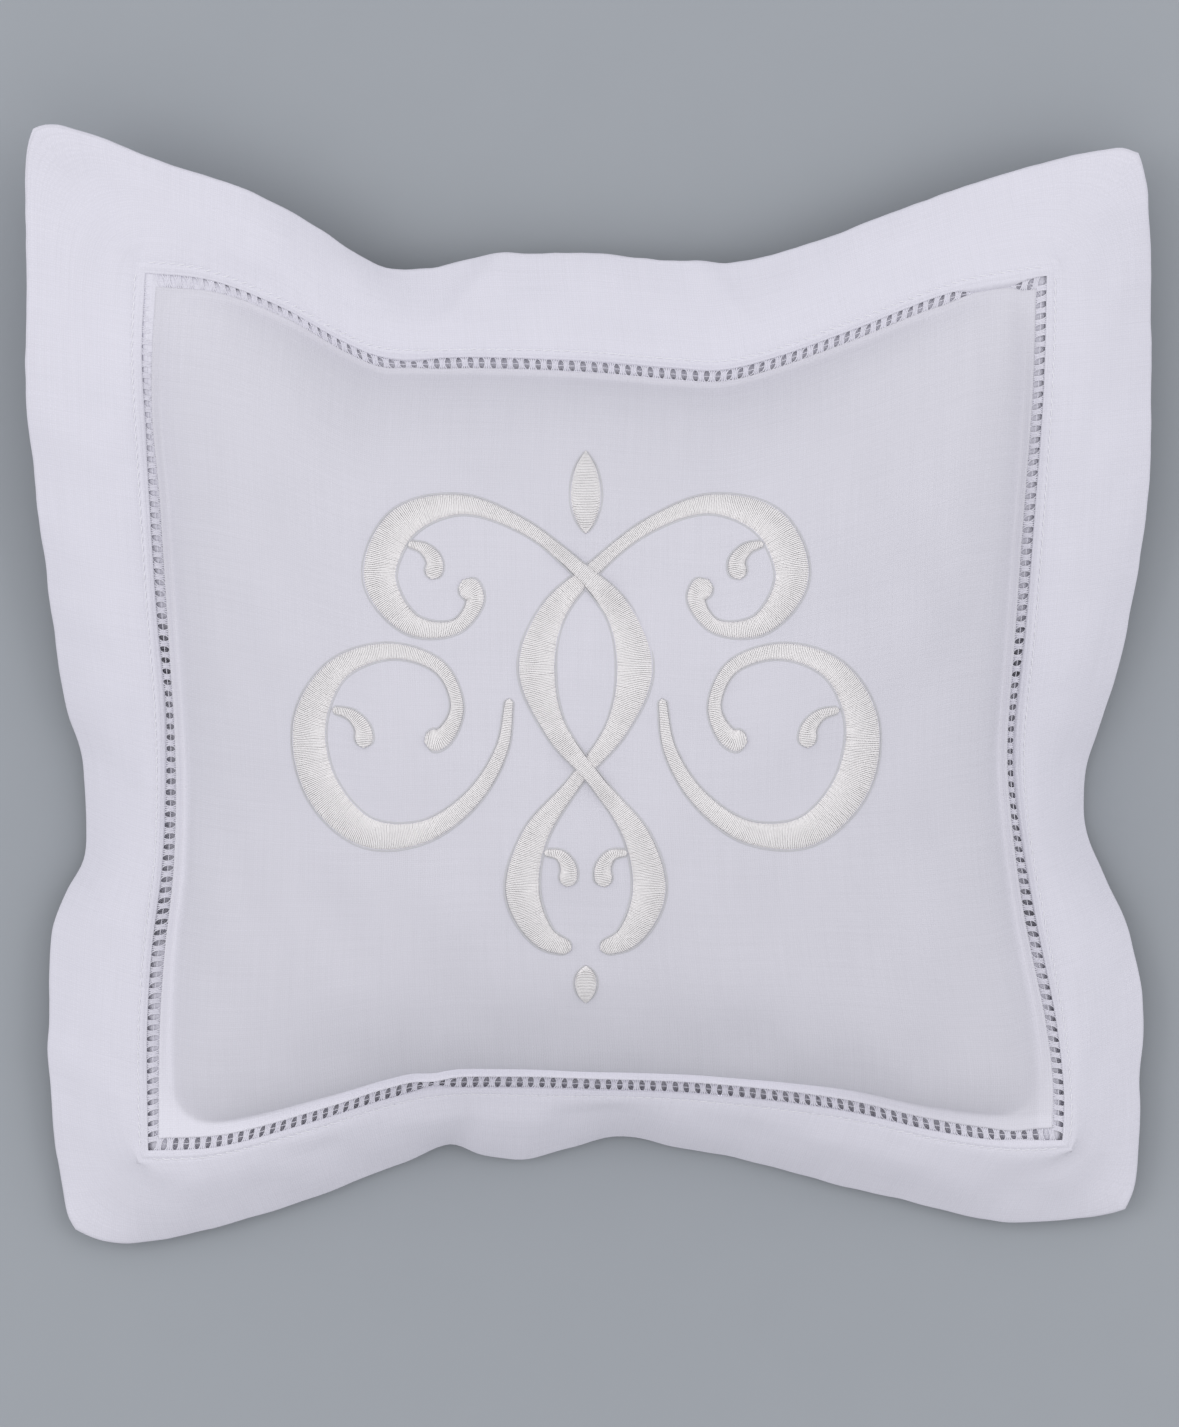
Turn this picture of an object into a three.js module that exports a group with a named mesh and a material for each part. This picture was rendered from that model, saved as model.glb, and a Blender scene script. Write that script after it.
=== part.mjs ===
// Ring bearer pillow: a hemstitched linen cover with a folded flange, an envelope back and an
// embroidered front, over a loose muslin insert stuffed with fibre. It lies on its back.
// Millimetres, +Z up through the front, +Y towards the top edge, origin under the middle on the
// surface that it rests on.
import * as THREE from "three";

// Driving dimensions
const PANEL = 203; // side of the stuffed panel, measured flat between the hemstitch rows
const FLANGE = 29; // width of the flange, measured flat
const LADDER = 3; // width of the hemstitch
const HOLE_PITCH = 2.54;
const HOLE = { long: 1.4, wide: 2.2 }; // along and across the hemstitch
const LINEN = 0.5;
const MUSLIN = 0.4;
const GAP = 0.3; // clearance between neighbouring cloths
const SEAM_CLEARANCE = 0.6; // between the hemstitch and the cloth beside it
const FRONT_RISE = 36; // how far the stuffing lifts the front over the hemstitch
const BACK_DEPTH = 31; // how far it would push the back down with nothing under it
const FLAT_BLEND = 2.5; // rounding where the back meets the surface that it rests on
const SLACK = 2; // room between the cover and the insert
const CLOSURE = { outerEdge: 0.32, innerEdge: 0.54 }; // envelope flaps' edges, as shares of the back
const OVERLAP_DIP = 2; // how far the overlapping flaps hang below the rest of the back
const FLANGE_DROOP = 1.5; // 1 slopes the flange evenly, more keeps it level longer
const CROWN = { middle: 2.3, edge: 0.56 }; // less of either makes the stuffing rise more steeply
const SEAM_OUT = 3.6; // the joining seam's distance outside the hemstitch
const MARGIN_OUT = 5.2; // the back's seam allowance reaches this far out
const THREAD = 0.35; // sewing thread's radius as a row of lockstitch
const SATIN = 0.9; // height of the satin stitch over the linen

// The hemstitch line and the flange's outer fold on each side, as points x, y, z. Top and bottom
// run from left to right, left and right run from bottom to top.
const HEM_LINE = {
  top: [[-100, 96, 21], [-85.5, 94.5, 21.5], [-69.5, 88.5, 22.5], [-56, 81, 24], [-47, 77.5, 24.5],
    [-25.5, 77.5, 25], [0, 76.5, 25], [17.5, 75, 25], [29, 74.5, 25], [40, 77, 24.5],
    [58.5, 83.5, 23.5], [81, 92, 22.5], [101.5, 95.5, 22]],
  right: [[108, -102, 19], [108, -91.5, 20], [106, -75.5, 21], [100.5, -49.5, 22.5],
    [96.5, -25, 24], [95.5, -11, 24], [97.5, 16.5, 24], [99, 39.5, 23.5], [101, 71, 22.5],
    [101.5, 95.5, 22]],
  bottom: [[-102, -104.5, 19], [-86.5, -103.5, 19.5], [-63, -97, 20.5], [-48, -92, 21.5],
    [-37.5, -89.5, 22], [-19, -89, 22], [0, -89.5, 22], [25, -90.5, 22], [57.5, -94.5, 21],
    [78.5, -99.5, 20], [94.5, -102, 19.5], [108, -102, 19]],
  left: [[-102, -104.5, 19], [-101.5, -77, 20.5], [-100, -58, 22], [-97.5, -39, 23.5],
    [-96.5, -20.5, 24], [-96.5, -3, 24.5], [-98, 19, 24], [-99.5, 46, 23],
    [-101, 75.5, 22], [-100, 96, 21]],
};
const OUTER_FOLD = {
  top: [[-126.5, 130.5, 21], [-123.5, 131.5, 21], [-113, 129, 21], [-97.5, 123, 20],
    [-79.5, 117, 18.5], [-61.5, 107.5, 16], [-47, 99, 14], [-37, 98.5, 13],
    [-21, 101.5, 12], [0, 102, 12], [17.5, 100.5, 12], [30.5, 99.5, 12], [45, 102.5, 13],
    [70, 112.5, 15], [92.5, 119.5, 15.5], [119.5, 126, 14], [125, 125, 13]],
  right: [[126, -124, 4], [128, -118.5, 4.5], [128.5, -109, 5], [129, -91, 6],
    [129.5, -73, 6.5], [126.5, -58, 6], [121, -45, 4], [117, -35.5, 3], [115.5, -23.5, 3],
    [117.5, -10.5, 4], [122.5, 8.5, 6.5], [126.5, 31, 9], [128.5, 59, 11], [128, 91, 12],
    [127, 116, 13], [125, 125, 13]],
  bottom: [[-122.5, -129, 4], [-116, -131.5, 4], [-102, -131.5, 3.5], [-83, -126.5, 3],
    [-64, -121, 2.5], [-45.5, -114, 2.5], [-33.5, -108, 2.5], [-25.5, -110.5, 2.5],
    [-16, -112, 2.5], [-5, -109.5, 2.5], [6.5, -106.5, 2.5], [23, -110, 2.5],
    [44.5, -115, 2.5], [72.5, -121.5, 2.5], [96.5, -127, 3.5], [115, -126.5, 4],
    [126, -124, 4]],
  left: [[-122.5, -129, 4], [-124.5, -125, 4.5], [-126.5, -111.5, 5], [-127.5, -94.5, 6],
    [-127, -73, 6.5], [-126.5, -56, 6], [-123, -47.5, 4.5], [-119, -39.5, 3.5],
    [-118, -30.5, 3.5], [-119, -16.5, 4.5], [-123, 1.5, 7], [-125.5, 22, 10.5],
    [-128, 47.5, 14.5], [-129, 68.5, 17], [-128.5, 91.5, 19], [-128, 125, 21],
    [-126.5, 130.5, 21]],
};
const SIDES = ["top", "right", "bottom", "left"];
// Grid lines as shares of the panel's width, closer together beside the seam
const NEAR_SEAM = [0, 0.018, 0.035, 0.06, 0.1, 0.15, 0.2, 0.26, 0.32, 0.38, 0.44];
const FULL_WIDTH = [...NEAR_SEAM, 0.5, ...NEAR_SEAM.map((x) => 1 - x).reverse()];

// Embroidery bands on the right half of the motif, in plan about its centre: points x, y and the
// band's width there. over lists shares of the length where the right band, or its mirror image on
// the left, is stitched over another.
const MOTIF = { x: -1.5, y: 5 };
const STROKES = {
  main_scroll: {
    line: [[3.4, -56, 3.4], [9.4, -53, 5.6], [14, -43, 7.6], [11.4, -30, 6], [2.5, -17.5, 3.2],
      [-7, -5, 5.2], [-10.8, 8, 8.2], [-7.2, 20, 6], [2.5, 30, 3.2], [14, 38.5, 3.2], [28, 43, 4.8],
      [41, 38.5, 7.8], [45.6, 27, 7.8], [38.5, 17, 4.8], [28.5, 16.8, 3.2], [24.4, 22.6, 4.2],
      [27, 26.6, 6.2]],
    over: { right: [0.262], left: [0.515] },
    steps: 46,
  },
  side_scroll: {
    line: [[16.8, 1, 1.8], [18.5, -10, 2.8], [25, -21, 3.8], [36, -29, 5], [49, -29.5, 7.2],
      [59, -20, 9], [61.5, -6, 8.4], [55, 6.5, 5.4], [43, 11, 3.6], [32, 7.5, 3], [28.4, -1, 3],
      [31.5, -7.6, 4.4], [35.4, -8.8, 6.2]],
    over: { right: [], left: [] },
    steps: 36,
  },
  side_leaf: {
    line: [[55.4, -2.6, 1.4], [52, -3.4, 2.6], [49.4, -6.4, 4], [49.2, -10.4, 5]],
    over: { right: [], left: [] },
    steps: 8,
  },
  shoulder_leaf: {
    line: [[38.6, 34.2, 1.4], [35.6, 33.4, 2.6], [33.4, 30.6, 3.8], [34, 27, 4.4]],
    over: { right: [], left: [] },
    steps: 8,
  },
  drop_leaf: {
    line: [[8.4, -33.4, 1.4], [5.6, -34, 2.6], [3.8, -37, 3.8], [4.2, -41, 4.4]],
    over: { right: [], left: [] },
    steps: 8,
  },
};
const FINIAL = [[0, 37, 2], [0, 41, 4.2], [0, 46, 7], [0, 50.5, 5.8], [0, 54, 2]];
const PENDANT = [[0, -60, 1.8], [0, -63, 4.4], [0, -66, 5], [0, -69, 1.8]];

const materials = {
  linen: new THREE.MeshStandardMaterial({ color: 0xdcdae4, roughness: 0.9, metalness: 0 }),
  drawnThread: new THREE.MeshStandardMaterial({ color: 0xd6d4de, roughness: 0.85, metalness: 0 }),
  satin: new THREE.MeshStandardMaterial({ color: 0xece9e2, roughness: 0.5, metalness: 0 }),
  sewing: new THREE.MeshStandardMaterial({ color: 0xe6e4ea, roughness: 0.7, metalness: 0 }),
  muslin: new THREE.MeshStandardMaterial({ color: 0xe6e0d2, roughness: 0.95, metalness: 0 }),
  fibre: new THREE.MeshStandardMaterial({ color: 0xf4f4f6, roughness: 1, metalness: 0 }),
};

const pillow = new THREE.Group();

// Adds a closed piece and turns its faces outward
function addPiece(name, positions, triangles, material) {
  let volume = 0;
  for (const [a, b, c] of triangles) {
    volume += positions[a].dot(new THREE.Vector3().crossVectors(positions[b], positions[c]));
  }
  const facing = volume < 0 ? triangles.map(([a, b, c]) => [a, c, b]) : triangles;
  const geometry = new THREE.BufferGeometry();
  const coordinates = positions.flatMap((p) => p.toArray());
  geometry.setAttribute("position", new THREE.Float32BufferAttribute(coordinates, 3));
  geometry.setIndex(facing.flat());
  geometry.computeVertexNormals();
  const mesh = new THREE.Mesh(geometry, material);
  mesh.name = name;
  pillow.add(mesh);
}

// A closed shell between two grids of points with the same rows and columns. In a loop the last row
// joins the first.
function addShell(name, upper, lower, material, isLoop = false) {
  const rows = upper.length;
  const columns = upper[0].length;
  const end = columns - 1;
  const top = (i, j) => (i % rows) * columns + j;
  const under = (i, j) => (rows + (i % rows)) * columns + j;
  const triangles = [];
  const quad = (a, b, c, d) => triangles.push([a, b, c], [a, c, d]);
  for (let i = 0; i < rows - (isLoop ? 0 : 1); i++) {
    for (let j = 0; j < end; j++) {
      quad(top(i, j), top(i, j + 1), top(i + 1, j + 1), top(i + 1, j));
      quad(under(i, j), under(i + 1, j), under(i + 1, j + 1), under(i, j + 1));
    }
    quad(top(i, 0), top(i + 1, 0), under(i + 1, 0), under(i, 0));
    quad(top(i + 1, end), top(i, end), under(i, end), under(i + 1, end));
  }
  for (let j = 0; j < end && !isLoop; j++) {
    quad(top(0, j + 1), top(0, j), under(0, j), under(0, j + 1));
    quad(top(rows - 1, j), top(rows - 1, j + 1), under(rows - 1, j + 1), under(rows - 1, j));
  }
  addPiece(name, [...upper.flat(), ...lower.flat()], triangles, material);
}

// A solid through equal rings of points, capped at both ends. The contour runs anticlockwise.
function addSweep(name, rings, contour, material) {
  const n = contour.length;
  const last = (rings.length - 1) * n;
  const triangles = [];
  for (let start = 0; start < last; start += n) {
    for (let k = 0; k < n; k++) {
      const a = start + k;
      const b = start + ((k + 1) % n);
      triangles.push([a, b, b + n], [a, b + n, a + n]);
    }
  }
  const caps = THREE.ShapeUtils.triangulateShape(contour.map(([x, y]) => new THREE.Vector2(x, y)), []);
  for (const [a, b, c] of caps) triangles.push([c, b, a], [last + a, last + b, last + c]);
  addPiece(name, rings.flat(), triangles, material);
}

function evenShares(low, high, count) {
  return Array.from({ length: count + 1 }, (_, i) => low + ((high - low) * i) / count);
}

// Smooth curves through the outline points
const curveThrough = (points) =>
  new THREE.CatmullRomCurve3(points.map((p) => new THREE.Vector3(...p)), false, "centripetal");
const hemCurves = {};
const foldCurves = {};
for (const side of SIDES) {
  hemCurves[side] = curveThrough(HEM_LINE[side]);
  foldCurves[side] = curveThrough(OUTER_FOLD[side]);
}

// A point of the border: t along a side, m outside the hemstitch's centre line. Lines of equal t
// fan out towards the mitred corners. The flange leaves the hemstitch level and bends down.
const FLANGE_INNER = LADDER / 2 + SEAM_CLEARANCE;
function onBorder(side, t, m) {
  const hem = hemCurves[side].getPointAt(t);
  const fold = foldCurves[side].getPointAt(t);
  const out = fold.clone().sub(hem).setZ(0).normalize();
  const inner = hem.clone().addScaledVector(out, Math.min(m, FLANGE_INNER) * Math.hypot(1, 1 - 2 * t));
  if (m <= FLANGE_INNER) return inner;
  const w = (m - FLANGE_INNER) / (FLANGE - FLANGE_INNER);
  const p = inner.clone().lerp(fold, w);
  p.z = inner.z + (fold.z - inner.z) * Math.pow(w, FLANGE_DROOP);
  return p;
}

// The upward normal of a surface, which is a function of two parameters
function normalOf(surface, a, b) {
  const step = 1e-3;
  const along = surface(Math.min(a + step, 1), b).sub(surface(Math.max(a - step, 0), b));
  const across = surface(a, b + step).sub(surface(a, b - step));
  const normal = along.cross(across).normalize();
  return normal.z < 0 ? normal.negate() : normal;
}

const lifted = (surface, a, b, lift) => surface(a, b).addScaledVector(normalOf(surface, a, b), lift);

// Rows v and columns u of a surface, moved along its normal
function gridOf(surface, us, vs, liftAt) {
  return vs.map((v) => us.map((u) => lifted(surface, u, v, liftAt(u, v))));
}

// A bilinearly blended patch inside four border lines m outside the hemstitch
function patchInside(m) {
  return (u, v) => {
    const p = new THREE.Vector3();
    p.addScaledVector(onBorder("bottom", u, m), 1 - v).addScaledVector(onBorder("top", u, m), v);
    p.addScaledVector(onBorder("left", v, m), 1 - u).addScaledVector(onBorder("right", v, m), u);
    p.addScaledVector(onBorder("bottom", 0, m), -(1 - u) * (1 - v));
    p.addScaledVector(onBorder("bottom", 1, m), -u * (1 - v));
    p.addScaledVector(onBorder("top", 0, m), -(1 - u) * v);
    return p.addScaledVector(onBorder("top", 1, m), -u * v);
  };
}

// How full the pillow is at a share of its width: 0 along a flat strip beside the seam, 1 in the middle
function fullness(share, strip) {
  const q = Math.max(0, Math.min(share, 1 - share) - strip) / (0.5 - strip);
  return Math.pow(1 - Math.pow(1 - q, CROWN.middle), CROWN.edge);
}

const clampShare = (share) => THREE.MathUtils.clamp(share, 0, 1);
const FRONT_STRIP = 0.018;
const frontPlan = patchInside(-FLANGE_INNER);
function frontSurface(u, v) {
  const p = frontPlan(clampShare(u), clampShare(v));
  p.z += FRONT_RISE * fullness(u, FRONT_STRIP) * fullness(v, FRONT_STRIP);
  return p;
}

// The back's outermost surface, pressed flat where it rests. Its border lies under the flange, and
// dips where the two flaps overlap.
const STACK = LINEN + GAP;
const BACK_STRIP = 0.04;
const DIP_SLOPE = 0.04; // share of the back over which it dips to the overlap
const UNDER_HEM = 2 * STACK + LINEN + GAP;
const backPlan = patchInside(MARGIN_OUT);
const smooth = THREE.MathUtils.smoothstep;
function backSurface(u, v) {
  const p = backPlan(clampShare(u), clampShare(v));
  const overlap = smooth(v, CLOSURE.outerEdge - 2 * DIP_SLOPE, CLOSURE.outerEdge - DIP_SLOPE)
    * (1 - smooth(v, CLOSURE.innerEdge + DIP_SLOPE, CLOSURE.innerEdge + 2 * DIP_SLOPE));
  const depth = BACK_DEPTH * fullness(u, BACK_STRIP) * fullness(v, BACK_STRIP);
  p.z -= UNDER_HEM + OVERLAP_DIP * overlap + depth;
  if (p.z < FLAT_BLEND) p.z = p.z < -FLAT_BLEND ? 0 : (p.z + FLAT_BLEND) ** 2 / (4 * FLAT_BLEND);
  return p;
}

function frontPanel() {
  const sheetAt = (lift) => gridOf(frontSurface, FULL_WIDTH, FULL_WIDTH, () => lift);
  addShell("front_panel", sheetAt(0), sheetAt(-LINEN), materials.linen);
}

// The flange: one face all round, and under it on each side a hem turned back from the fold, with
// mitred ends. Both use the same stations, counted clockwise, so that they lie evenly together.
const FLANGE_STATIONS = evenShares(0, 1, 24);
const FLANGE_WIDTHS = [FLANGE_INNER, MARGIN_OUT, 12, 20.5, FLANGE];
function flangeRows(side, stations, widths, lift) {
  const clockwise = side === "top" || side === "left";
  const surface = (t, m) => onBorder(side, t, m);
  return stations.map((share) =>
    widths.map((m) => lifted(surface, clockwise ? share : 1 - share, m, lift)));
}

function flangeFace() {
  const stations = FLANGE_STATIONS.slice(0, -1);
  const rowsAt = (lift) => SIDES.flatMap((side) => flangeRows(side, stations, FLANGE_WIDTHS, lift));
  addShell("flange_face", rowsAt(0), rowsAt(-LINEN), materials.linen, true);
}

function turnedHem(side) {
  const mitre = GAP / FLANGE / 4;
  const stations = [mitre, ...FLANGE_STATIONS.slice(1, -1), 1 - mitre];
  const widths = [...FLANGE_WIDTHS.slice(0, -1), FLANGE - GAP];
  addShell(`turned_hem_${side}`, flangeRows(side, stations, widths, -STACK),
    flangeRows(side, stations, widths, -STACK - LINEN), materials.linen);
}

// The hemstitch: threads are drawn out of the linen and the rest is tied into bars, which leaves a
// row of holes. It is built in short blocks of holes that follow the hem line. The block is bowed a
// little while it is cut into triangles, because corners exactly in line could leave out slivers.
function hemstitch(side) {
  const perBlock = 4;
  const bow = 0.002;
  const cornerGap = 0.2 / PANEL;
  const blocks = Math.round(hemCurves[side].getLength() / HOLE_PITCH / perBlock);
  const blockLength = perBlock * HOLE_PITCH;
  const halfWidth = LADDER / 2;
  const w = HOLE.wide / 2;
  const loops = [[[0, -halfWidth], [blockLength, -halfWidth], [blockLength, halfWidth], [0, halfWidth]]];
  for (const i of evenShares(0.5, perBlock - 0.5, perBlock - 1)) {
    const [x0, x1] = [i * HOLE_PITCH - HOLE.long / 2, i * HOLE_PITCH + HOLE.long / 2];
    loops.push([[x0, -w], [x0, w], [x1, w], [x1, -w]]);
  }
  const bowed = loops.map((loop) => loop.map(([x, y]) => new THREE.Vector2(x, y + bow * x * x)));
  const faces = THREE.ShapeUtils.triangulateShape(bowed[0], bowed.slice(1));
  const flat = loops.flat();
  const positions = [];
  const triangles = [];
  for (let block = 0; block < blocks; block++) {
    const top = positions.length;
    const under = top + flat.length;
    for (const z of [0, -LINEN]) {
      for (const [x, y] of flat) {
        const t = cornerGap + (1 - 2 * cornerGap) * ((block + x / blockLength) / blocks);
        const p = onBorder(side, t, y);
        p.z += z;
        positions.push(p);
      }
    }
    for (const [a, b, c] of faces) {
      triangles.push([top + a, top + b, top + c], [under + a, under + c, under + b]);
    }
    let first = 0;
    for (const loop of loops) {
      for (let k = 0; k < loop.length; k++) {
        const isJoint = first === 0 && ((k === 1 && block < blocks - 1) || (k === 3 && block > 0));
        const a = first + k;
        const b = first + ((k + 1) % loop.length);
        if (!isJoint) triangles.push([top + b, top + a, under + a], [top + b, under + a, under + b]);
      }
      first += loop.length;
    }
  }
  addPiece(`hemstitch_${side}`, positions, triangles, materials.drawnThread);
}

// The row of lockstitch that joins the back to the flange, as it stands on the flange
function joiningSeam(side) {
  const cornerGap = SEAM_OUT / PANEL;
  const stations = 24;
  const contour = [[-THREAD, 0], [0, -THREAD], [THREAD, 0], [0, THREAD]];
  const surface = (t, m) => onBorder(side, t, m);
  const rings = evenShares(cornerGap, 1 - cornerGap, stations).map((t) =>
    contour.map(([x, z]) => lifted(surface, t, SEAM_OUT + x, THREAD + GAP / 2 + z)));
  addSweep(`joining_seam_${side}`, rings, contour, materials.sewing);
}

// The envelope back: the outer flap comes down from the top edge, the inner one up from the bottom
function backFlaps() {
  const addCloth = (name, columns, rows, lift) => addShell(name,
    gridOf(backSurface, columns, rows, (u, v) => lift(u, v) + LINEN),
    gridOf(backSurface, columns, rows, lift), materials.linen);
  const { outerEdge, innerEdge } = CLOSURE;
  const outerHem = [0.35, 0.38];
  const innerHem = [0.48, 0.51];
  const overlapRows = [outerEdge, ...outerHem, 0.43, ...innerHem, innerEdge];
  const upperRows = NEAR_SEAM.filter((x) => x < 0.36).map((x) => 1 - x).reverse();
  const lowerRows = NEAR_SEAM.filter((x) => x < 0.25);
  const tuck = { start: outerEdge - 0.045, end: outerEdge - 0.01 };
  const tucked = (u, v) => 2 * STACK * smooth(v, tuck.start, tuck.end);
  addCloth("back_flap_outer", FULL_WIDTH, [...overlapRows, 0.59, 0.63, ...upperRows], () => 0);
  addCloth("back_flap_inner", FULL_WIDTH,
    [...lowerRows, 0.24, tuck.start, 0.29, tuck.end, ...overlapRows], tucked);
  const hemWidth = FULL_WIDTH.filter((u) => u > 0.05 && u < 0.95);
  const clear = GAP / PANEL;
  addCloth("closure_hem_outer", hemWidth, [outerEdge + clear, ...outerHem], () => STACK);
  addCloth("closure_hem_inner", hemWidth, [...innerHem, innerEdge - clear], () => 3 * STACK);
}

// The insert keeps out of the cover's corners. Its own coordinates a and b run from -1 to 1.
const INSERT_FRONT = { surface: frontSurface, lift: -LINEN - SLACK, scale: 1, inward: -1 };
const INSERT_BACK = {
  surface: backSurface, lift: 3 * STACK + LINEN + SLACK, scale: PANEL / (PANEL + 2 * MARGIN_OUT), inward: 1,
};
const INSERT_SIZE = { panels: 0.955, seam: 0.95, fill: 0.935 }; // as shares of the cover's
const SEAM_DEPTH = 0.008; // width of the insert's seam, as a share of its size
function insertPoint(half, a, b, size, depth) {
  const cornerPull = 0.18;
  const u = 0.5 + 0.5 * size * half.scale * a * Math.sqrt(1 - cornerPull * b * b);
  const v = 0.5 + 0.5 * size * half.scale * b * Math.sqrt(1 - cornerPull * a * a);
  return lifted(half.surface, u, v, half.lift + half.inward * depth);
}

function insert() {
  const outward = [0.22, 0.43, 0.62, 0.78, 0.88, 0.95, 1];
  const lines = [...outward.map((x) => -x).reverse(), 0, ...outward];
  const grid = (half, size, depth) =>
    lines.map((b) => lines.map((a) => insertPoint(half, a, b, size, depth)));
  const { panels, seam, fill } = INSERT_SIZE;
  const inside = MUSLIN + 2 * GAP;
  addShell("insert_case_front", grid(INSERT_FRONT, panels, 0), grid(INSERT_FRONT, panels, MUSLIN),
    materials.muslin);
  addShell("insert_case_back", grid(INSERT_BACK, panels, MUSLIN), grid(INSERT_BACK, panels, 0),
    materials.muslin);
  addShell("insert_fill", grid(INSERT_FRONT, fill, inside), grid(INSERT_BACK, fill, inside),
    materials.fibre);
  const edge = lines.slice(1);
  const rim = [...edge.map((x) => [x, -1]), ...edge.map((x) => [1, x]),
    ...edge.map((x) => [-x, 1]), ...edge.map((x) => [-1, -x])];
  const seamAround = (half) => rim.map(([a, b]) =>
    [seam, seam - SEAM_DEPTH].map((size) => insertPoint(half, a, b, size, inside)));
  addShell("insert_seam", seamAround(INSERT_FRONT), seamAround(INSERT_BACK), materials.muslin, true);
}

// A point over the front at a place in plan
function onFront(x, y, lift) {
  let u = 0.5 + x / PANEL;
  let v = 0.5 + y / PANEL;
  for (let i = 0; i < 6; i++) {
    const p = frontPlan(u, v);
    u += (x - p.x) / PANEL;
    v += (y - p.y) / PANEL;
  }
  return lifted(frontSurface, u, v, lift);
}

// A band of satin stitch of changing width on the front: flat below and crowned above. It rises
// where it is stitched over another band. On the path, z is the band's width.
const CROSSING = { flat: 0.022, end: 0.06 }; // shares of the length, either side of the middle
function satinBand(name, line, steps, over) {
  const path = curveThrough(line);
  const contour = [[-1, 0], [1, 0], [0.8, 0.75], [0, 1], [-0.8, 0.75]];
  const rings = evenShares(0, 1, steps).map((t) => {
    const at = path.getPointAt(t);
    const along = path.getTangentAt(t).setZ(0).normalize();
    const nearest = Math.min(1, ...over.map((crossing) => Math.abs(crossing - t)));
    const raise = (SATIN + GAP) * (1 - smooth(nearest, CROSSING.flat, CROSSING.end));
    return contour.map(([side, up]) => {
      const reach = (side * at.z) / 2;
      const [x, y] = [at.x - along.y * reach, at.y + along.x * reach];
      return onFront(MOTIF.x + x, MOTIF.y + y, GAP + raise + up * SATIN);
    });
  });
  addSweep(name, rings, contour, materials.satin);
}

function embroidery() {
  for (const [name, { line, steps, over }] of Object.entries(STROKES)) {
    satinBand(`${name}_right`, line, steps, over.right);
    satinBand(`${name}_left`, line.map(([x, y, w]) => [-x, y, w]), steps, over.left);
  }
  satinBand("finial", FINIAL, 6, []);
  satinBand("pendant", PENDANT, 6, []);
}

frontPanel();
flangeFace();
for (const side of SIDES) {
  turnedHem(side);
  hemstitch(side);
  joiningSeam(side);
}
backFlaps();
insert();
embroidery();

export default pillow;
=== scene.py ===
"""A hemstitched linen ring bearer pillow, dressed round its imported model.

The pillow lies on its back, with +Z up through the embroidered front and +Y towards the motif's top.
Shapes are worked out in millimetres and become meshes in metres. The cover's front is one sheet of
linen: the panel over the stuffing, the drawn hemstitch and the flange, which is folded back
underneath with mitred corners. The back is an envelope of two flaps over a loose muslin insert.
"""
import logging
import math
from collections.abc import Callable, Mapping, Sequence
from dataclasses import dataclass, field
from enum import Enum
from functools import cached_property, partial

import bpy
import numpy as np
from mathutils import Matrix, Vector
from mathutils.bvhtree import BVHTree


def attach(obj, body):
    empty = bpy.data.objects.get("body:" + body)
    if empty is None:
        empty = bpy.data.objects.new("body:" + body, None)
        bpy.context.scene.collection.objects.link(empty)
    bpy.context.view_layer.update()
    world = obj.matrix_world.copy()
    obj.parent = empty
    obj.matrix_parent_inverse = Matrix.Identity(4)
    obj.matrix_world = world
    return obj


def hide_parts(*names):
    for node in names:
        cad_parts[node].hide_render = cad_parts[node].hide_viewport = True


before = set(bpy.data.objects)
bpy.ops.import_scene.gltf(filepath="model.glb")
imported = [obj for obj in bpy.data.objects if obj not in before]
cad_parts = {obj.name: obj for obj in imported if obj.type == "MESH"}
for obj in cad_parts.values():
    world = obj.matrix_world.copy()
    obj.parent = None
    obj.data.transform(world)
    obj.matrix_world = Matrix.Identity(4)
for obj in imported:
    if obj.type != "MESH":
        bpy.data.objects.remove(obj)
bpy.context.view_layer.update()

log = logging.getLogger("pillow")
MM = 0.001
PANEL = 203.0
BODY = "root"
Array = np.ndarray


class Side(Enum):
    """The four sides of the panel. Top and bottom run left to right, left and right bottom to top."""

    TOP = "top"
    RIGHT = "right"
    BOTTOM = "bottom"
    LEFT = "left"

    @property
    def clockwise(self) -> bool:
        """Whether the side's points already run clockwise round the pillow."""
        return self in (Side.TOP, Side.LEFT)

    @property
    def outward(self) -> np.ndarray:
        """The direction out of the panel, square to the side."""
        x = (self is Side.RIGHT) - (self is Side.LEFT)
        y = (self is Side.TOP) - (self is Side.BOTTOM)
        return np.array([x, y, 0.0])


class Slot(Enum):
    """The record's material slots."""

    LINEN = "linen"
    DRAWN = "drawn_thread"
    SEWING = "sewing_thread"
    SATIN = "embroidery_thread"
    MUSLIN = "muslin"
    FIBRE = "fibre_fill"


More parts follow.
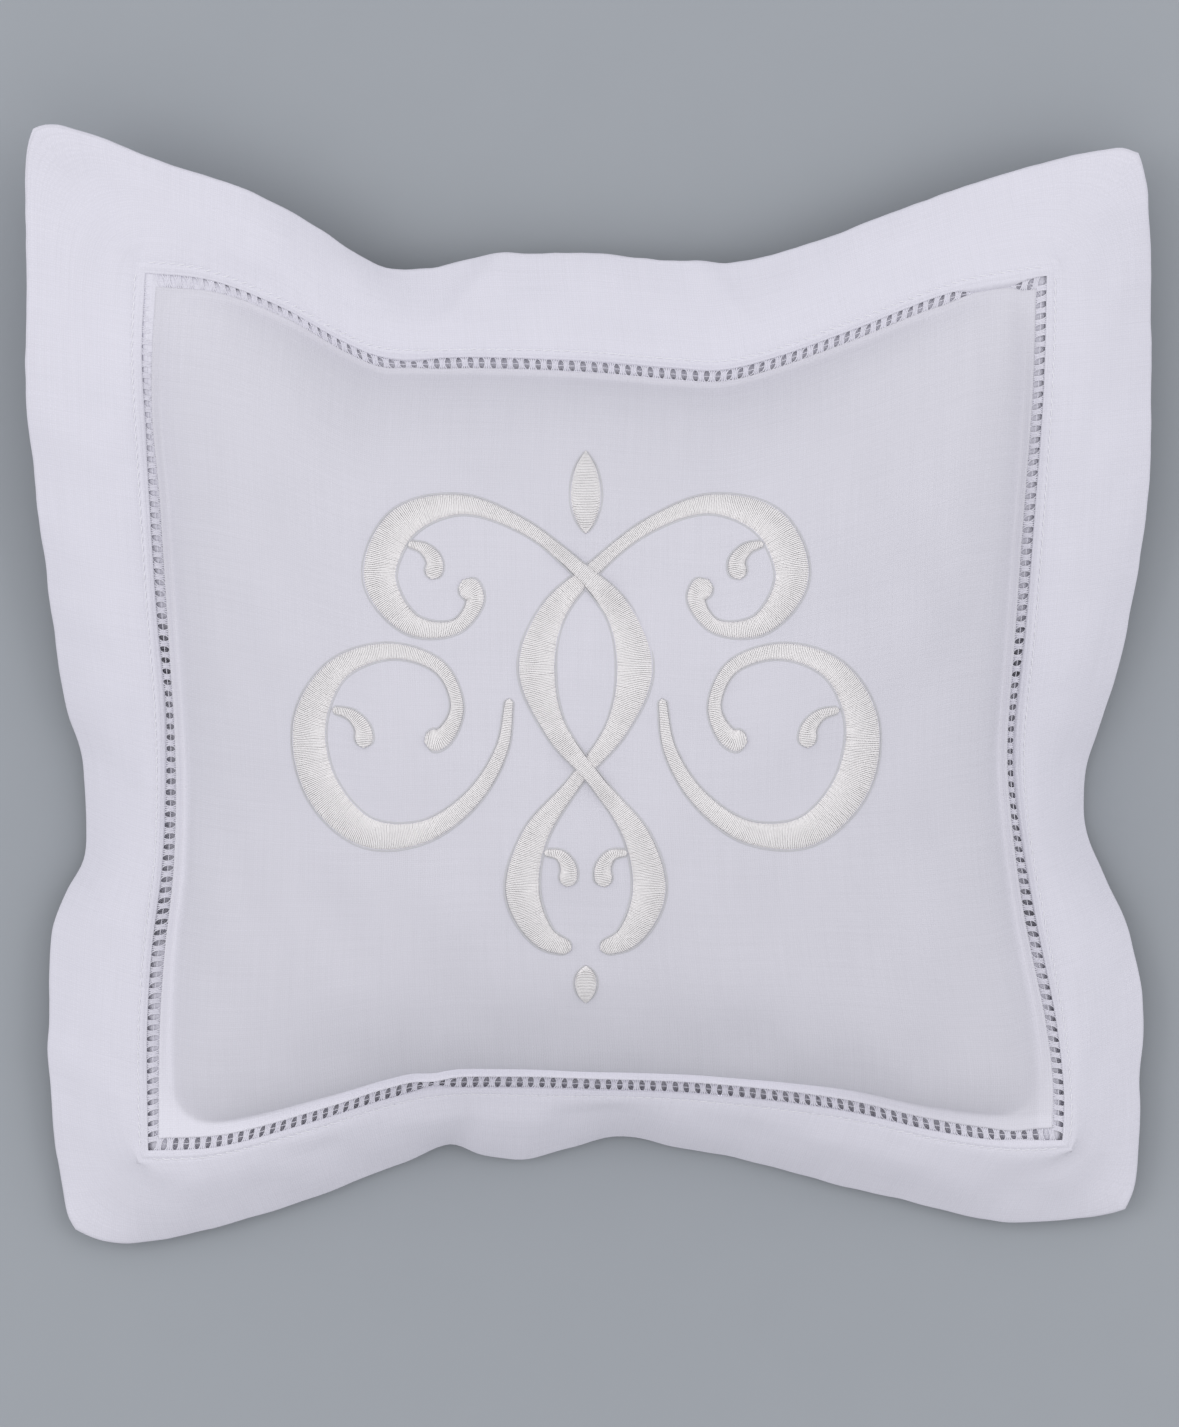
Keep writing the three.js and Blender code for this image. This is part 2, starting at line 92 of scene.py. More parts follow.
# The hemstitch line and the flange's outer fold, in millimetres, as the model has them
HEM_LINE: dict[Side, list[tuple[float, float, float]]] = {
    Side.TOP: [
        (-100, 96, 21), (-85.5, 94.5, 21.5), (-69.5, 88.5, 22.5), (-56, 81, 24), (-47, 77.5, 24.5),
        (-25.5, 77.5, 25), (0, 76.5, 25), (17.5, 75, 25), (29, 74.5, 25), (40, 77, 24.5),
        (58.5, 83.5, 23.5), (81, 92, 22.5), (101.5, 95.5, 22),
    ],
    Side.RIGHT: [
        (108, -102, 19), (108, -91.5, 20), (106, -75.5, 21), (100.5, -49.5, 22.5), (96.5, -25, 24),
        (95.5, -11, 24), (97.5, 16.5, 24), (99, 39.5, 23.5), (101, 71, 22.5), (101.5, 95.5, 22),
    ],
    Side.BOTTOM: [
        (-102, -104.5, 19), (-86.5, -103.5, 19.5), (-63, -97, 20.5), (-48, -92, 21.5),
        (-37.5, -89.5, 22), (-19, -89, 22), (0, -89.5, 22), (25, -90.5, 22), (57.5, -94.5, 21),
        (78.5, -99.5, 20), (94.5, -102, 19.5), (108, -102, 19),
    ],
    Side.LEFT: [
        (-102, -104.5, 19), (-101.5, -77, 20.5), (-100, -58, 22), (-97.5, -39, 23.5),
        (-96.5, -20.5, 24), (-96.5, -3, 24.5), (-98, 19, 24), (-99.5, 46, 23), (-101, 75.5, 22),
        (-100, 96, 21),
    ],
}
OUTER_FOLD: dict[Side, list[tuple[float, float, float]]] = {
    Side.TOP: [
        (-126.5, 130.5, 21), (-123.5, 131.5, 21), (-113, 129, 21), (-97.5, 123, 20), (-79.5, 117, 18.5),
        (-61.5, 107.5, 16), (-47, 99, 14), (-37, 98.5, 13), (-21, 101.5, 12), (0, 102, 12),
        (17.5, 100.5, 12), (30.5, 99.5, 12), (45, 102.5, 13), (70, 112.5, 15), (92.5, 119.5, 15.5),
        (119.5, 126, 14), (125, 125, 13),
    ],
    Side.RIGHT: [
        (126, -124, 4), (128, -118.5, 4.5), (128.5, -109, 5), (129, -91, 6), (129.5, -73, 6.5),
        (126.5, -58, 6), (121, -45, 4), (117, -35.5, 3), (115.5, -23.5, 3), (117.5, -10.5, 4),
        (122.5, 8.5, 6.5), (126.5, 31, 9), (128.5, 59, 11), (128, 91, 12), (127, 116, 13), (125, 125, 13),
    ],
    Side.BOTTOM: [
        (-122.5, -129, 4), (-116, -131.5, 4), (-102, -131.5, 3.5), (-83, -126.5, 3), (-64, -121, 2.5),
        (-45.5, -114, 2.5), (-33.5, -108, 2.5), (-25.5, -110.5, 2.5), (-16, -112, 2.5),
        (-5, -109.5, 2.5), (6.5, -106.5, 2.5), (23, -110, 2.5), (44.5, -115, 2.5), (72.5, -121.5, 2.5),
        (96.5, -127, 3.5), (115, -126.5, 4), (126, -124, 4),
    ],
    Side.LEFT: [
        (-122.5, -129, 4), (-124.5, -125, 4.5), (-126.5, -111.5, 5), (-127.5, -94.5, 6), (-127, -73, 6.5),
        (-126.5, -56, 6), (-123, -47.5, 4.5), (-119, -39.5, 3.5), (-118, -30.5, 3.5), (-119, -16.5, 4.5),
        (-123, 1.5, 7), (-125.5, 22, 10.5), (-128, 47.5, 14.5), (-129, 68.5, 17), (-128.5, 91.5, 19),
        (-128, 125, 21), (-126.5, 130.5, 21),
    ],
}


# ---------------------------------------------------------------- node trees as expressions


class Value:
    """A node's output, with Python's operators. An expression adds the Math nodes that it needs."""

    def __init__(self, graph: "Graph", socket: bpy.types.NodeSocket) -> None:
        """Wrap one output socket of a tree."""
        self.graph = graph
        self.socket = socket

    def _math(self, operation: str, *others: "Value | float", first: float | None = None) -> "Value":
        """Add a Math node.

        Args:
            operation: The node's operation.
            others: The operands after this one.
            first: A number that stands before this one, for the reflected forms.

        Returns:
            The node's result.
        """
        operands = (self, *others) if first is None else (first, self)
        return self.graph.add("ShaderNodeMath", {"operation": operation}, dict(enumerate(operands)))[0]

    def __add__(self, other: "Value | float") -> "Value":
        """Sum."""
        return self._math("ADD", other)

    def __sub__(self, other: "Value | float") -> "Value":
        """Difference."""
        return self._math("SUBTRACT", other)

    def __mul__(self, other: "Value | float") -> "Value":
        """Product."""
        return self._math("MULTIPLY", other)

    def __truediv__(self, other: "Value | float") -> "Value":
        """Quotient."""
        return self._math("DIVIDE", other)

    def __pow__(self, other: "Value | float") -> "Value":
        """Power."""
        return self._math("POWER", other)

    def __rsub__(self, other: float) -> "Value":
        """Difference from a number."""
        return self._math("SUBTRACT", first=other)

    __radd__ = __add__
    __rmul__ = __mul__

    def sin(self) -> "Value":
        """Sine."""
        return self._math("SINE")

    def clamped(self, low: float = 0.0, high: float = 1.0) -> "Value":
        """Kept between two numbers."""
        return self._math("MAXIMUM", low)._math("MINIMUM", high)

    def ramp(self, low: float, high: float) -> "Value":
        """0 at low and 1 at high, smooth between."""
        sockets = {"Value": self, "From Min": low, "From Max": high}
        return self.graph.add("ShaderNodeMapRange", {"interpolation_type": "SMOOTHSTEP"}, sockets)["Result"]


class Added:
    """A node that was added to a graph. Its outputs are found by name or place."""

    def __init__(self, graph: "Graph", node: bpy.types.Node) -> None:
        """Wrap one node."""
        self.graph = graph
        self.node = node

    def __getitem__(self, key: str | int) -> Value:
        """The output with this name, the enabled one where several share it."""
        outputs = self.node.outputs
        if isinstance(key, int):
            return Value(self.graph, outputs[key])
        return Value(self.graph, next(s for s in outputs if s.name == key and s.enabled))


class Graph:
    """A shader or geometry tree that is built by adding nodes with their settings and sockets."""

    def __init__(self, tree: bpy.types.NodeTree) -> None:
        """Start from an empty tree."""
        self.tree = tree
        tree.nodes.clear()

    def add(
        self, kind: str, settings: Mapping[str, object] | None = None,
        sockets: Mapping[str | int, object] | None = None,
    ) -> Added:
        """Add a node.

        Args:
            kind: The node's type.
            settings: The node's own settings, which are set first.
            sockets: Values or links of its inputs, by name or place.

        Returns:
            The node, for its outputs.
        """
        node = self.tree.nodes.new(kind)
        for name, value in (settings or {}).items():
            setattr(node, name, value)
        for key, value in (sockets or {}).items():
            target = self._input(node, key)
            for item in value if isinstance(value, list) else [value]:
                if isinstance(item, Value):
                    self.tree.links.new(item.socket, target)
                else:
                    target.default_value = item
        return Added(self, node)

    @staticmethod
    def _input(node: bpy.types.Node, key: str | int) -> bpy.types.NodeSocket:
        """The node's input by place, or the enabled one with a name."""
        if isinstance(key, int):
            return node.inputs[key]
        return next(s for s in node.inputs if s.name == key and s.enabled)

    def mix(self, factor: Value | float, first: object, second: object) -> Value:
        """A blend of two colours."""
        settings = {"data_type": "RGBA"}
        return self.add("ShaderNodeMix", settings, {"Factor": factor, "A": first, "B": second})["Result"]

    def vector(self, operation: str, *operands: object) -> Value:
        """A Vector Math node's vector."""
        return self.add("ShaderNodeVectorMath", {"operation": operation}, dict(enumerate(operands)))["Vector"]

    def scaled(self, vector: object, factor: Value | float) -> Value:
        """A vector or a colour times a number."""
        sockets = {"Vector": vector, "Scale": factor}
        return self.add("ShaderNodeVectorMath", {"operation": "SCALE"}, sockets)["Vector"]

    def combine(self, x: Value | float, y: Value | float, z: Value | float) -> Value:
        """A vector from three numbers."""
        return self.add("ShaderNodeCombineXYZ", None, {"X": x, "Y": y, "Z": z})["Vector"]

    def noise(self, place: Value, scale: float, detail: float = 2.0) -> Value:
        """Smooth noise from 0 to 1."""
        sockets = {"Vector": place, "Scale": scale, "Detail": detail}
        return self.add("ShaderNodeTexNoise", None, sockets)["Fac"]

    def bump(self, height: Value, strength: float, distance: float) -> Value:
        """Normals tilted by a height, which is given in parts of the distance."""
        sockets = {"Strength": strength, "Distance": distance, "Height": height}
        return self.add("ShaderNodeBump", None, sockets)["Normal"]

    def own_place(self) -> Value:
        """The place on the piece, in its own coordinates."""
        return self.add("ShaderNodeTexCoord")["Object"]

    def apart(self, vector: Value) -> tuple[Value, Value, Value]:
        """A vector's three numbers."""
        split = self.add("ShaderNodeSeparateXYZ", None, {0: vector})
        return split["X"], split["Y"], split["Z"]


# ---------------------------------------------------------------- finishes


Colour = tuple[float, float, float]


def rgba(colour: Colour, gain: float = 1.0) -> tuple[float, float, float, float]:
    """A linear colour, made lighter or darker, with full alpha."""
    return (colour[0] * gain, colour[1] * gain, colour[2] * gain, 1.0)


@dataclass(frozen=True)
class Finish:
    """A material that is built once and shared by the pieces that wear it."""

    name: str
    slot: Slot

    def dress(self, graph: Graph) -> Mapping[str, object]:
        """Add the finish's nodes and return what goes into the Principled shader's sockets."""
        raise NotImplementedError

    @cached_property
    def material(self) -> bpy.types.Material:
        """The material, built when it is first asked for."""
        made = bpy.data.materials.new(self.name)
        made.use_nodes = True
        graph = Graph(made.node_tree)
        shader = graph.add("ShaderNodeBsdfPrincipled", None, self.dress(graph))
        graph.add("ShaderNodeOutputMaterial", None, {"Surface": shader["BSDF"]})
        return made


@dataclass(frozen=True)
class WovenCloth(Finish):
    """Plain weave on a piece's own flat coordinates, with slubs and uneven threads.

    Args:
        name: The material's name.
        slot: The record's slot.
        colour: Linear colour of the cloth.
        thread_mm: Distance from one thread to the next.
        relief_mm: Height of the weave.
        slub: How much thick and thin threads show, as a share of the colour.
        sheen: Weight of the fabric's sheen.
        single_layer: Brightness where one layer lets what is under it show through.
        margin_mm: Width of the margin round a panel, which keeps its full brightness: partly its doubled
            cloth, partly painted light.
        bend_mm: Distance from the panel's lower left corner at which the margin starts to turn.
        wander: How far threads stray from straight, in spacings.
        streak: Frequencies of a slub along and across its thread, per metre.
        cloud: Share of the colour that soft patches take.
    """

    colour: Colour
    thread_mm: float
    relief_mm: float
    slub: float
    sheen: float
    single_layer: float = 1.0
    margin_mm: float = 3.4
    bend_mm: float = 13.0
    wander: float = 2.2
    streak: tuple[float, float] = (34.0, 2400.0)
    cloud: float = 0.07

    def dress(self, graph: Graph) -> Mapping[str, object]:
        """Weave the cloth out of two sets of threads that pass over and under each other."""
        flat = graph.add("ShaderNodeUVMap", {"uv_map": "flat"})["UV"]
        stray = graph.add("ShaderNodeTexNoise", None, {
            "Vector": flat, "Scale": 220.0, "Detail": 3.0, "Roughness": 0.6})["Color"]
        stray = graph.scaled(stray, self.wander * self.thread_mm * MM)
        x, y, _ = graph.apart(graph.vector("ADD", flat, stray))
        turn = math.pi / (self.thread_mm * MM)
        across, along = (x * turn).sin(), (y * turn).sin()
        warp_over = (across * along * 2.2 + 0.5).clamped()
        height = across * across * warp_over + along * along * (1.0 - warp_over)
        long, fine = self.streak
        warp_slubs = self._slubs(graph, flat, (fine, long, 1.0))
        weft_slubs = self._slubs(graph, flat, (long, fine, 1.0))
        slubs = warp_slubs * warp_over + weft_slubs * (1.0 - warp_over)
        cloudy = graph.noise(flat, 40.0, 3.0)
        # The colour is 5% darker where the weave dips between threads: painted shade.
        shade = slubs * self.slub + (1.0 - height) * -0.05 + (cloudy - 0.5) * self.cloud + 1.0
        # Below 1, the front is darker over the stuffing than on its margin, whose brightness is partly
        # painted light.
        if self.single_layer < 1.0:
            shade = shade * self._doubled_margin_and_painted_light(graph, flat)
        tint = graph.mix(cloudy, rgba(self.colour, 1.0), rgba(self.colour, 0.985))
        return {
            "Base Color": graph.scaled(tint, shade),
            "Roughness": 0.82 + (1.0 - height) * 0.12,
            "Sheen Weight": self.sheen,
            "Sheen Roughness": 0.45,
            "Specular IOR Level": 0.22,
            "Normal": graph.bump(height * 0.7 + slubs * 0.5, 0.55, self.relief_mm * MM),
        }

    def _doubled_margin_and_painted_light(self, graph: Graph, flat: Value) -> Value:
        """Full brightness on the margin of a panel, less over the stuffing: partly the doubled cloth, partly
        painted light that lifts the strip out of the body wall's shade.

        The margin lies flat along the bottom, turns the left corner in a curve, and fades up both sides
        and towards the right end.

        Args:
            graph: The material's tree.
            flat: The place on the flat cloth.

        Returns:
            The brightness.
        """
        x, y, _ = graph.apart(flat)
        panel, bend = PANEL * MM, self.bend_mm * MM
        near, far = 0.72 * self.margin_mm * MM, 1.34 * self.margin_mm * MM
        from_bend = ((bend - x).clamped() ** 2 + (bend - y).clamped() ** 2) ** 0.5
        low = 1.0 - y.ramp(0.25 * panel, 0.85 * panel)
        from_left = x.ramp(0.0, 0.30 * panel) * 0.5 + 0.5
        towards_right = 1.0 - x.ramp(0.60 * panel, 0.95 * panel) * 0.8
        up_side = 1.0 - y.ramp(near, 5 * far) * 0.35
        # The margin's brightness is partly doubled cloth and partly painted light.
        margin_painted_light = (1.0 - (bend - from_bend).ramp(near, far)) * from_left * towards_right * up_side * low
        # Painted light: a faint bright line along the right side.
        right = (1.0 - (panel - x).ramp(near, far)) * low * 0.2
        return 1.0 - (1.0 - margin_painted_light) * (1.0 - right) * (1.0 - self.single_layer)

    @staticmethod
    def _slubs(graph: Graph, flat: Value, stretch: tuple[float, float, float]) -> Value:
        """Long thin streaks along one set of threads, from -0.5 to 0.5."""
        return graph.noise(graph.vector("MULTIPLY", flat, stretch), 1.0, 1.0) - 0.5


@dataclass(frozen=True)
class Thread(Finish):
    """Spun thread on stitches, with plies that show as fine slanting lines.

    Args:
        name: The material's name.
        slot: The record's slot.
        colour: Linear colour of the thread.
        roughness: Mean roughness.
        sheen: Weight of its sheen.
        ply_mm: Spacing of the twisted plies.
        relief_mm: Height of the plies.
    """

    colour: Colour
    roughness: float
    sheen: float
    ply_mm: float
    relief_mm: float = 0.04

    def dress(self, graph: Graph) -> Mapping[str, object]:
        """Vary the colour from thread to thread and twist fine plies along them."""
        place = graph.own_place()
        uneven = graph.noise(place, 420.0)
        cloudy = graph.noise(place, 38.0)
        x, y, z = graph.apart(place)
        plies = ((x + y * 0.7 + z * 0.9) * (2 * math.pi / (self.ply_mm * MM))).sin()
        # The plies' colour is lighter on their crests and darker in the grooves: painted shade.
        shade = (uneven - 0.5) * 0.10 + (cloudy - 0.5) * 0.05 + plies * 0.015 + 1.0
        return {
            "Base Color": graph.scaled(self.colour, shade),
            "Roughness": self.roughness + (uneven - 0.5) * 0.2,
            "Sheen Weight": self.sheen,
            "Sheen Roughness": 0.35,
            "Specular IOR Level": 0.4,
            "Normal": graph.bump(plies * 0.5 + uneven, 0.35, self.relief_mm * MM),
        }


@dataclass(frozen=True)
class Fibre(Finish):
    """Loose white fibre."""

    name: str = "fibre_fill"
    slot: Slot = Slot.FIBRE
    shadowed: Colour = (0.80, 0.80, 0.82)
    lit: Colour = (0.93, 0.93, 0.94)

    def dress(self, graph: Graph) -> Mapping[str, object]:
        """Wispy strands over a soft white mass."""
        wisps = graph.add("ShaderNodeTexNoise", None, {
            "Vector": graph.own_place(), "Scale": 160.0, "Detail": 4.0, "Distortion": 2.5})["Fac"]
        return {
            "Base Color": graph.mix(wisps, rgba(self.shadowed), rgba(self.lit)),
            "Roughness": 0.9 + wisps * 0.1,
            "Sheen Weight": 0.4,
            "Normal": graph.bump(wisps, 0.8, 0.8 * MM),
        }


@dataclass(frozen=True)
class StudioPaper(Finish):
    """Plain pale paper under the object, a cool grey with a faint tooth."""

    name: str = "studio_paper"
    slot: Slot = Slot.LINEN
    dark: Colour = (0.34, 0.36, 0.39)
    light: Colour = (0.35, 0.37, 0.40)

    def dress(self, graph: Graph) -> Mapping[str, object]:
        """The tooth lightens the grey and roughens it."""
        tooth = graph.noise(graph.own_place(), 60.0, 4.0)
        return {
            "Base Color": graph.mix(tooth, rgba(self.dark), rgba(self.light)),
            "Roughness": 0.85 + tooth * 0.1,
            "Specular IOR Level": 0.15,
        }


@dataclass(frozen=True)
class Wardrobe:
    """Every finish of the pillow."""

    linen: Finish = WovenCloth(
        "linen", Slot.LINEN, (0.735, 0.720, 0.800), thread_mm=0.52, relief_mm=0.10, slub=0.13, sheen=0.12)
    # Front linen: lighter on its margin, partly doubled cloth and partly painted light; darker over the
    # stuffing.
    front_linen: Finish = WovenCloth(
        "linen_over_stuffing", Slot.LINEN, (0.919, 0.900, 0.990), thread_mm=0.52, relief_mm=0.10, slub=0.13,
        sheen=0.12, single_layer=0.737, margin_mm=3.3)
    muslin: Finish = WovenCloth(
        "muslin", Slot.MUSLIN, (0.74, 0.69, 0.58), thread_mm=0.7, relief_mm=0.14, slub=0.25, sheen=0.1)
    drawn: Finish = Thread(
        "drawn_linen_threads", Slot.DRAWN, (0.75, 0.735, 0.81), roughness=0.8, sheen=0.1, ply_mm=0.35)
    sewing: Finish = Thread(
        "sewing_thread", Slot.SEWING, (0.80, 0.79, 0.84), roughness=0.6, sheen=0.1, ply_mm=0.30)
    satin: Finish = Thread(
        "embroidery_thread", Slot.SATIN, (0.925, 0.893, 0.900), roughness=0.48, sheen=0.25, ply_mm=0.26)
    # Dark grey cords along the satin bands' edges: painted shadow.
    edge_shadow: Finish = Thread(
        "edge_painted_shadow", Slot.SATIN, (0.560, 0.555, 0.585), roughness=0.75, sheen=0.1, ply_mm=0.26)
    fibre: Finish = Fibre()


# ---------------------------------------------------------------- meshes and pieces


def placed(name: str, data: bpy.types.ID) -> bpy.types.Object:
    """An object at the origin that shows this mesh, light or camera."""
    added = bpy.data.objects.new(name, data)
    bpy.context.scene.collection.objects.link(added)
    return added


def finished(
    name: str, mesh: bpy.types.Mesh, finish: Finish, nodes: Sequence[str] = (),
) -> bpy.types.Object:
    """Make a mesh a piece of the pillow.

    Args:
        name: The piece's name.
        mesh: Its mesh, in metres.
        finish: What it is made of.
        nodes: The model's nodes that it stands for.

    Returns:
        The piece.
    """
    mesh.name = name
    if not mesh.materials:
        mesh.materials.append(finish.material)
    mesh.shade_smooth()
    piece = placed(name, mesh)
    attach(piece, BODY)
    if nodes:
        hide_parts(*nodes)
    log.info("%s: %d faces", name, len(mesh.polygons))
    return piece


def quads_between(rows: int, columns: int, is_loop: bool, first: int = 0) -> Array:
    """Vertex numbers of a grid's faces, seen from the side where rows then columns turn clockwise."""
    i = np.arange(rows if is_loop else rows - 1)
    j = np.arange(columns - 1)
    a, b = np.meshgrid(i, j, indexing="ij")
    following = (a + 1) % rows
    corners = [a * columns + b, a * columns + b + 1, following * columns + b + 1, following * columns + b]
    return np.stack(corners, axis=-1).reshape(-1, 4) + first


def closed_quads(rows: int, columns: int, is_loop: bool = False) -> Array:
    """Faces of a solid between two grids of points, the second numbered after the first.

    Args:
        rows: Rows of each grid.
        columns: Columns of each grid.
        is_loop: Whether the last row joins the first.

    Returns:
        Vertex numbers of the faces.
    """
    under = rows * columns
    start = np.arange(rows if is_loop else rows - 1) * columns
    following = (start + columns) % under
    last = columns - 1
    edges = [(start, following, False), (start + last, following + last, True)]
    if not is_loop:
        j = np.arange(last)
        end = (rows - 1) * columns
        edges += [(j, j + 1, True), (end + j, end + j + 1, False)]
    faces = [quads_between(rows, columns, is_loop), quads_between(rows, columns, is_loop, under)[:, ::-1]]
    for near, far, turned in edges:
        rim = np.stack([near, far, far + under, near + under], axis=-1)
        faces.append(rim[:, ::-1] if turned else rim)
    return np.concatenate(faces)


def cloth_mesh(outer: Array, inner: Array, flat: Array, is_loop: bool = False) -> bpy.types.Mesh:
    """A closed sheet of cloth between two grids of points.

    Args:
        outer: Points of the face side, rows by columns, in millimetres.
        inner: Points of the other side.
        flat: Where each point lies in the flat cloth, in millimetres.
        is_loop: Whether the last row joins the first.

    Returns:
        The mesh, in metres, with the flat coordinates as its UV map.
    """
    faces = closed_quads(*outer.shape[:2], is_loop)
    points = np.concatenate([outer.reshape(-1, 3), inner.reshape(-1, 3)]) * MM
    if signed_volume(points, faces) < 0:
        faces = faces[:, ::-1]
    mesh = bpy.data.meshes.new("cloth")
    mesh.from_pydata(points.tolist(), [], faces.tolist())
    corner_of = np.empty(len(mesh.loops), dtype=np.int32)
    mesh.loops.foreach_get("vertex_index", corner_of)
    both = np.concatenate([flat.reshape(-1, 2), flat.reshape(-1, 2)]) * MM
    layer = mesh.uv_layers.new(name="flat")
    layer.data.foreach_set("uv", both[corner_of].ravel())
    mesh.validate()
    return mesh


def signed_volume(points: Array, quads: Array) -> float:
    """The volume inside a closed mesh of quads, negative where it is inside out."""
    a, b, c, d = (points[quads[:, k]] for k in range(4))
    return float((dot(a, np.cross(b, c)) + dot(a, np.cross(c, d))).sum())


def dot(a: Array, b: Array) -> Array:
    """Scalar products of rows of vectors."""
    return np.einsum("ij,ij->i", a, b)


def unit(vectors: Array) -> Array:
    """Vectors made one long."""
    return vectors / np.linalg.norm(vectors, axis=-1, keepdims=True)


def square_to(vectors: Array, normals: Array) -> Array:
    """Rows of vectors without their part along the normals, made one long."""
    return unit(vectors - normals * dot(vectors, normals)[:, None])


def surface_normals(grid: Array) -> Array:
    """Unit normals of a grid of points, on the side of +Z over most of it."""
    normals = np.cross(np.gradient(grid, axis=0), np.gradient(grid, axis=1))
    normals /= np.maximum(np.linalg.norm(normals, axis=-1, keepdims=True), 1e-9)
    return normals if normals[..., 2].mean() > 0 else -normals


def smoothstep(x: Array | float, low: float, high: float) -> Array:
    """0 below low and 1 above high, smooth between."""
    t = np.clip((np.asarray(x, dtype=float) - low) / (high - low), 0.0, 1.0)
    return t * t * (3 - 2 * t)


def plateau(x: Array | float, start: tuple[float, float], stop: tuple[float, float]) -> Array:
    """1 between the end of start and the beginning of stop, smooth down to 0 outside both."""
    return smoothstep(x, *start) * (1 - smoothstep(x, *stop))


def bell(x: Array | float, middle: float, reach: float) -> Array:
    """1 at the middle, smooth down to 0 on both sides."""
    return np.exp(-(((x - middle) / reach) ** 2))


@dataclass(frozen=True)
class Ripples:
    """Gentle unevenness made of a few plane waves with fixed directions."""

    seed: int
    wavelength: float
    height: float = 1.0
    count: int = 9

    def __call__(self, x: Array, y: Array) -> Array:
        """The height at places in plan, mostly within the ripples' height either way."""
        source = np.random.default_rng(self.seed)
        angles = source.uniform(0, 2 * math.pi, self.count)
        lengths = self.wavelength * source.uniform(0.6, 1.7, self.count)
        phases = source.uniform(0, 2 * math.pi, self.count)
        total = np.zeros_like(x)
        for angle, length, phase in zip(angles, lengths, phases):
            total += np.sin(2 * math.pi * (x * math.cos(angle) + y * math.sin(angle)) / length + phase)
        return total / math.sqrt(self.count) * self.height


@dataclass(frozen=True)
class SoftCrease:
    """A long soft hollow or ridge in the cloth."""

    middle: tuple[float, float]
    angle_deg: float
    length: float
    width: float
    height: float

    def __call__(self, x: Array, y: Array) -> Array:
        """The height that it adds at places in plan."""
        angle = math.radians(self.angle_deg)
        dx, dy = x - self.middle[0], y - self.middle[1]
        along = dx * math.cos(angle) + dy * math.sin(angle)
        across = dy * math.cos(angle) - dx * math.sin(angle)
        return self.height * np.exp(-((along / self.length) ** 2) - (across / self.width) ** 2)


# ---------------------------------------------------------------- the pillow's form


class Line:
    """A smooth curve through points, read by its share of the length."""

    def __init__(self, points: Sequence[Sequence[float]], per_span: int = 48) -> None:
        """Run a centripetal Catmull-Rom curve through the points."""
        p = np.array(points, dtype=float)
        p = np.vstack([2 * p[0] - p[1], p, 2 * p[-1] - p[-2]])
        parts = [self._span(p[i:i + 4], per_span) for i in range(len(p) - 3)]
        self.points = np.vstack([*parts, p[-2:-1]])
        steps = np.linalg.norm(np.diff(self.points[:, :3], axis=0), axis=1)
        reached = np.concatenate([[0.0], np.cumsum(steps)])
        self.length = float(reached[-1])
        self.shares = reached / reached[-1]

    @staticmethod
    def _span(p: Array, count: int) -> Array:
        """Points of the curve between the middle two of four.

        Args:
            p: The four points.
            count: How many points to make, from the second of the four and before the third.

        Returns:
            The points.
        """
        knots = np.concatenate([[0.0], np.cumsum(np.linalg.norm(np.diff(p, axis=0), axis=1) ** 0.5)])
        t = np.linspace(knots[1], knots[2], count, endpoint=False)[:, None]

        def between(a: Array, b: Array, low: float, high: float) -> Array:
            """A straight blend of two points or rows of points."""
            return a * (high - t) / (high - low) + b * (t - low) / (high - low)

        a = [between(p[i], p[i + 1], knots[i], knots[i + 1]) for i in range(3)]
        b = [between(a[i], a[i + 1], knots[i], knots[i + 2]) for i in range(2)]
        return between(b[0], b[1], knots[1], knots[2])

    def at(self, share: Array) -> Array:
        """Points at shares of the length."""
        values = [np.interp(share, self.shares, column) for column in self.points.T]
        return np.stack(values, axis=-1)


PUCKERS = {
    Side.TOP: ((0.40, 0.30, 0.022),),
    Side.RIGHT: ((0.42, 0.45, 0.12),),
    Side.BOTTOM: ((0.60, 0.315, 0.018), (0.35, 0.955, 0.020)),
    Side.LEFT: ((0.25, 0.52, 0.070), (0.32, 0.84, 0.050), (-0.14, 0.22, 0.120)),
}
"""Where the hemstitch is drawn together, or stretched if less than 0: how much, middle and reach."""

CLOSED_STRETCH = (0.95, (0.895, 0.93), (0.96, 0.99))
"""Where the cloth folds over the top side's holes: how much, and where it starts and stops."""


